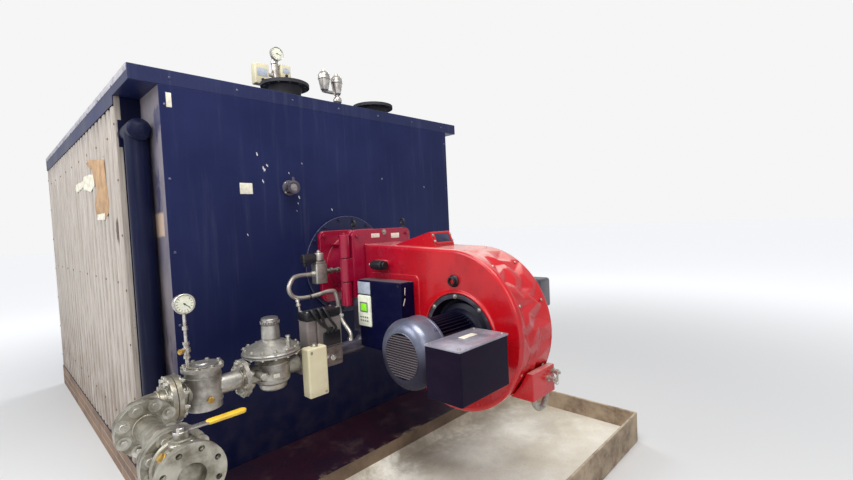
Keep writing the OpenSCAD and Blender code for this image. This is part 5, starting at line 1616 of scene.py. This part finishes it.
        box = soft_box((left + 0.139, front - 0.001, coil_low + 0.006), (right - 0.010, front + 0.02, coil_low + 0.086), 0.006)
        piece("valve_terminal", box, "black")
        leads = []
        for start, drop, end in ((left + 0.075, 0.035, left + 0.165), (left + 0.115, 0.062, left + 0.190),
                                 (left + 0.150, 0.028, left + 0.215)):
            top = high[2] - 0.004
            leads.append(tube([(start, front + 0.030, top), (start, front + 0.004, top + 0.016), (start + 0.004, front - 0.014, top - 0.004),
                               ((start + end) / 2, front - 0.018, top - drop - 0.030), (end, front - 0.012, coil_low + 0.105),
                               (end, front - 0.002, coil_low + 0.082)], 0.0075, X, 40, 12))
        piece("coil_leads", joined(*leads), "black")
        screws = [(x, y, high[2] - 0.0005) for x in (left + 0.06, right - 0.02) for y in (front + 0.018, rear - 0.018)]
        piece("valve_lid_screws", stamped(bolt(0.009, 0.004, 0.001), screws, Z), "zinc")
        low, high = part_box("gas_actuator")
        size = high - low
        outline = round_rect(size[0], size[1], 0.011, 8)
        base = np.array([(low[0] + high[0]) / 2, (low[1] + high[1]) / 2, low[2]])
        h = size[2]
        drive = plate(outline, base, X, Y, [0, 0.0015, 0.006, 0.030, 0.0305, 0.032, 0.0325, h - 0.010, h - 0.004, h - 0.001, h],
                      [0.007, 0.003, 0.0008, 0, 0.0012, 0.0012, 0, 0, 0.0015, 0.005, 0.011])
        piece("valve_drive", drive, "beige", replaces=("gas_actuator",))
        piece("drive_screws", stamped(bolt(0.008, 0.003, 0.001), [(low[0] + 0.020, low[1] + 0.0002, high[2] - 0.022),
              (high[0] - 0.020, low[1] + 0.0002, low[2] + 0.016)], -Y), "zinc")
        neck = rounded_turn([(0.001, 0), (0.020, 0), (0.020, 0.010), (0.014, 0.012), (0.014, 0.018), (0.001, 0.018)],
                            (base[0], base[1], high[2] - 0.0015), Z, 24, 0.001)
        piece("drive_neck", neck, "zinc")


class BOILER_OT_pilot_line(bpy.types.Operator):
    """Makes the pilot gas valve, its bent tube, its nuts and the impulse line"""

    bl_idname = "boiler.pilot_line"
    bl_label = "Pilot line"

    def execute(self, context):
        looks = context.scene.boiler_gas
        low, high = -0.414, -0.336
        y = -0.240
        casting = soft_box((low, y - 0.030, 1.212), (high, y + 0.030, 1.330), 0.006)
        shoulder = soft_box((low + 0.006, y - 0.027, 1.325), (high - 0.006, y + 0.027, 1.347), 0.005)
        piece("pilot_body", joined(casting, shoulder), "alloy", replaces=("pilot_valve",))
        coil = rounded_turn([(0.001, 0), (0.029, 0), (0.029, 0.046), (0.026, 0.049), (0.013, 0.049), (0.013, 0.058), (0.009, 0.061),
                             (0.009, 0.066), (0.001, 0.066)], (-0.375, y, 1.346), Z, 40, 0.002)
        piece("pilot_coil", coil, "satin")
        band = turned([(0.0255, 0), (0.0302, 0), (0.0302, 0.005), (0.0255, 0.005)], (-0.375, y, 1.346), Z, 40)
        piece("pilot_seal", band, "rubber")
        plug = soft_box((-0.490, y - 0.022, 1.342), (-0.402, y + 0.022, 1.394), 0.006)
        piece("pilot_connector", plug, "black")
        gland = rounded_turn([(0.001, 0), (0.013, 0), (0.013, 0.012), (0.010, 0.014), (0.010, 0.022), (0.001, 0.023)],
                             (-0.470, y, 1.343), -Z, 20, 0.001)
        piece("connector_gland", gland, "black")
        fitting = [(0.001, -0.002), (0.017, -0.002), (0.017, 0.014), (0.011, 0.016), (0.011, 0.030), (0.018, 0.032), (0.018, 0.050),
                   (0.010, 0.052), (0.010, 0.078), (0.017, 0.080), (0.017, 0.098), (0.0115, 0.100), (0.0115, 0.142), (0.001, 0.142)]
        piece("pilot_fitting", turned(fitting, (high, y, 1.280), X, 6 * 4), "zinc", replaces=("pilot_valve",))
        route = [(-0.414, -0.240, 1.273), (-0.520, -0.250, 1.274), (-0.578, -0.280, 1.262), (-0.612, -0.300, 1.212),
                 (-0.578, -0.300, 1.162), (-0.484, -0.300, 1.151), (-0.348, -0.300, 1.165), (-0.310, -0.304, 1.138),
                 (-0.300, -0.330, 1.000), (-0.304, -0.418, 0.920), (-0.304, -0.418, 0.876)]
        piece("pilot_tube", tube(route, looks.tube_radius, Y, 120, 20), "satin", replaces=("pilot_valve",))
        nut = [(0.001, 0), (0.0165, 0), (0.0175, 0.001), (0.0175, 0.015), (0.0165, 0.016), (0.013, 0.020), (0.001, 0.020)]
        nuts = joined(turned(nut, (-0.4135, y, 1.273), -X, 6), turned(nut, (-0.304, -0.418, 0.876), Z, 6),
                      turned(nut, (-0.3005, -0.325, 1.020), unit(np.array([0.07, -0.18, -1.0])), 6))
        piece("tube_nuts", nuts, "zinc", sharp=30)
        clamp = turned([(0.0120, -0.004), (0.0142, -0.004), (0.0142, 0.004), (0.0120, 0.004)], (-0.484, -0.300, 1.151),
                       unit(np.array([1, 0, 0.06])), 24)
        piece("tube_clamp", clamp, "rubber")
        line = [(-0.575, -0.322, 1.148), (-0.576, -0.334, 1.110), (-0.580, -0.352, 1.030), (-0.596, -0.385, 0.940), (-0.604, -0.398, 0.886)]
        piece("impulse_line", tube(line, 0.0065, Y, 40, 14), "satin")
        collar = [(0.001, 0), (0.0125, 0), (0.0125, 0.012), (0.0085, 0.014), (0.0085, 0.022), (0.0135, 0.024), (0.0135, 0.036),
                  (0.008, 0.038), (0.001, 0.038)]
        piece("impulse_nuts", joined(turned(collar, (-0.575, -0.318, 1.150), unit(np.array([0, -0.3, -1])), 12),
                                     turned(collar, (-0.579, -0.342, 1.075), unit(np.array([-0.05, -0.25, -1])), 12)), "zinc")
        return {"FINISHED"}


class BOILER_OT_burner_mount(bpy.types.Operator):
    """Rounds the burner's door plate, flange casting and hinge, and adds their bolts"""

    bl_idname = "boiler.burner_mount"
    bl_label = "Burner mount"

    def execute(self, context):
        softened("burner_door", "door_plate", "door", 0.003)
        softened("swing_flange", "flange_casting", "crimson", 0.006)
        softened("hinge_pin", "hinge_barrels", "crimson", 0.003)
        low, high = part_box("lifting_eyes")
        loop = circle(0.0175, 40)
        for name, x, y in (("eye_bolt_left", low[0] + 0.011, high[1] - 0.022), ("eye_bolt_right", high[0] - 0.011, low[1] + 0.022)):
            top = np.array([x, y, high[2] - 0.023])
            ring = swept(top + loop[:, :1] * Y + loop[:, 1:] * Z, circle(0.0065, 14), X, closed=True)
            stem = turned([(0.001, 0), (0.014, 0), (0.014, 0.006), (0.0075, 0.010), (0.0075, 0.020), (0.001, 0.022)],
                          (x, y, low[2]), Z, 20)
            piece(name, joined(ring, stem), "black", replaces=("lifting_eyes",))
        low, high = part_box("burner_door")
        centre = np.array([(low[0] + high[0]) / 2, low[1], (low[2] + high[2]) / 2])
        places = ring_of(centre, -Y, (high[0] - low[0]) / 2 - 0.020, 16, 0.5)
        piece("door_bolts", stamped(bolt(0.016, 0.008, 0.0025), places, -Y), "door")
        # Painted highlight: a pale ring stands in for the lit rim of the door plate
        edge = circle((high[0] - low[0]) / 2 - 0.002, 128)
        path = centre + edge[:, :1] * X + edge[:, 1:] * Z
        piece("door_edge_highlight", swept(path, circle(0.0022, 8), -Y, closed=True), "worn_paint")
        low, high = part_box("swing_flange")
        spots = [(x, low[1] + 0.3202, centre[2] + z) for x in (-0.212, 0.212) for z in (-0.205, 0.0, 0.205)]
        piece("casting_bolts", stamped(bolt(0.022, 0.012, 0.003), spots, -Y), "crimson")
        ribs = []
        for angle in (45, 135, 225, 315):
            a = math.radians(angle)
            spoke = np.array([math.cos(a), 0, math.sin(a)])
            side = np.cross(Y, spoke)
            web = round_rect(0.030, 0.265, 0.006, 5)
            ribs.append(plate(web, centre + spoke * 0.205 + (0, -0.177, 0) - side * 0.006, spoke, Y,
                              [0, 0.002, 0.010, 0.012], [0.002, 0, 0, 0.002]))
        piece("neck_webs", joined(*ribs), "crimson")
        return {"FINISHED"}


class BOILER_OT_roof_gear(bpy.types.Operator):
    """Makes the roof's nozzles and instruments, and the flue outlet"""

    bl_idname = "boiler.roof_gear"
    bl_label = "Roof gear"

    def execute(self, context):
        softened("flow_nozzle", "flow_stub", "core", 0.003)
        softened("return_nozzle", "return_stub", "core", 0.003)
        softened("flue_outlet", "flue_ring", "core", 0.002)
        x, y, roof = -0.135, 0.610, 2.400
        post = [(0.001, 0), (0.045, 0), (0.045, 0.008), (0.030, 0.012), (0.0235, 0.030), (0.0235, 0.190), (0.029, 0.193),
                (0.029, 0.212), (0.0235, 0.215), (0.0235, 0.290), (0.028, 0.293), (0.028, 0.345), (0.0235, 0.348), (0.0235, 0.400),
                (0.028, 0.404), (0.028, 0.424), (0.020, 0.428), (0.020, 0.450), (0.001, 0.452)]
        arms = joined(turned([(0.001, 0), (0.013, 0), (0.013, 0.082), (0.001, 0.082)], (x, y, 2.715), -X, 24),
                      turned([(0.001, 0), (0.013, 0), (0.013, 0.045), (0.001, 0.045)], (x, y, 2.755), X, 24))
        piece("instrument_post", joined(turned(post, (x, y, roof), Z, 40), arms), "steel", replaces=("instrument_stand",))
        left = soft_box((-0.313, 0.570, 2.625), (-0.203, 0.636, 2.775), 0.006)
        right = soft_box((-0.105, 0.574, 2.700), (-0.021, 0.634, 2.805), 0.006)
        piece("limiter_boxes", joined(left, right), "beige", replaces=("instrument_stand",))
        cards = joined(soft_plate(round_rect(0.080, 0.060, 0.003, 4), (-0.258, 0.5702, 2.710), X, Z, 0.0016, 0.0005),
                       soft_plate(round_rect(0.054, 0.040, 0.003, 4), (-0.063, 0.5742, 2.760), X, Z, 0.0016, 0.0005))
        piece("limiter_windows", cards, "grey_plate")
        knobs = stamped(rounded_turn([(0.001, 0), (0.011, 0), (0.011, 0.009), (0.001, 0.010)], (0, 0, 0), Z, 20, 0.001),
                        [(-0.258, 0.5702, 2.655), (-0.063, 0.5742, 2.722)], -Y)
        piece("limiter_knobs", knobs, "black")
        back = np.array([x, y - 0.018, 2.870])
        case = rounded_turn([(0.001, 0), (0.042, 0), (0.050, 0.008), (0.050, 0.034), (0.045, 0.034), (0.043, 0.029), (0.001, 0.029)],
                            back, -Y, 56, 0.0015)
        socket = rounded_turn([(0.001, -0.032), (0.014, -0.032), (0.014, 0.026), (0.001, 0.028)], (x, y, 2.850), Z, 24, 0.002)
        piece("thermometer_case", joined(case, socket, turned([(0.001, 0), (0.016, 0), (0.016, 0.022), (0.001, 0.022)],
                                                              (x, y, 2.870), -Y, 24)), "steel", replaces=("instrument_stand",))
        face, marks, hand = dial(back - 0.0291 * Y, -Y, 0.0425, 13, 170)
        piece("thermometer_face", face, "cream")
        piece("thermometer_marks", joined(marks, hand), "black")
        vent = (0.275, 0.400)
        pipe = rounded_turn([(0.001, 0), (0.032, 0), (0.032, 0.006), (0.017, 0.010), (0.017, 0.118), (0.026, 0.124), (0.034, 0.140),
                             (0.034, 0.160), (0.026, 0.176), (0.017, 0.182), (0.017, 0.190), (0.001, 0.190)], (*vent, roof), Z, 32, 0.002)
        arm = turned([(0.001, 0), (0.013, 0), (0.013, 0.130), (0.001, 0.130)], (*vent, roof + 0.205), -X, 24)
        piece("vent_pipe", joined(pipe, arm), "steel", replaces=("instrument_stand",))
        float_body = [(0.001, 0), (0.022, 0), (0.026, 0.010), (0.030, 0.012), (0.044, 0.090), (0.0475, 0.094), (0.0475, 0.104), (0.046, 0.108),
                      (0.046, 0.128), (0.030, 0.150), (0.012, 0.156), (0.012, 0.172), (0.001, 0.172)]
        floats = joined(rounded_turn(float_body, (vent[0], vent[1], roof + 0.190), Z, 40, 0.002),
                        rounded_turn(float_body, (vent[0] - 0.115, vent[1], roof + 0.202), Z, 40, 0.002))
        piece("vent_floats", floats, "steel", replaces=("instrument_stand",))
        return {"FINISHED"}


PIECES = (BOILER_OT_finishes, BOILER_OT_stage, BOILER_OT_casing, BOILER_OT_fan_housing, BOILER_OT_motor,
          BOILER_OT_control_gear, BOILER_OT_burner_mount, BOILER_OT_inlet_run, BOILER_OT_gas_train,
          BOILER_OT_pilot_line, BOILER_OT_roof_gear)


class BOILER_PT_panel(bpy.types.Panel):
    """Lists the settings and the pieces of the boiler"""

    bl_idname = "BOILER_PT_panel"
    bl_label = "Boiler"
    bl_space_type = "VIEW_3D"
    bl_region_type = "UI"
    bl_category = "Boiler"

    def draw(self, context):
        layout = self.layout
        for group, names in (
            (context.scene.boiler_case, ("panel_colour", "bolt_across")),
            (context.scene.boiler_burner, ("housing_colour", "dent_depth", "grille_bars")),
            (context.scene.boiler_gas, ("tube_radius",)),
            (context.scene.boiler_stage, ("floor_colour",)),
        ):
            for name in names:
                layout.prop(group, name)
        for operator in PIECES:
            layout.operator(operator.bl_idname)


SETTINGS = {
    "boiler_case": CaseLooks,
    "boiler_burner": BurnerLooks,
    "boiler_gas": GasLooks,
    "boiler_stage": StageLooks,
}


def register():
    for kind in (*SETTINGS.values(), *PIECES, BOILER_PT_panel):
        bpy.utils.register_class(kind)
    for name, kind in SETTINGS.items():
        setattr(bpy.types.Scene, name, bpy.props.PointerProperty(type=kind))


def unregister():
    for name in SETTINGS:
        delattr(bpy.types.Scene, name)
    for kind in reversed((*SETTINGS.values(), *PIECES, BOILER_PT_panel)):
        bpy.utils.unregister_class(kind)


def main():
    register()
    for operator in PIECES:
        getattr(bpy.ops.boiler, operator.bl_idname.split(".")[1])()


if __name__ == "__main__":
    main()
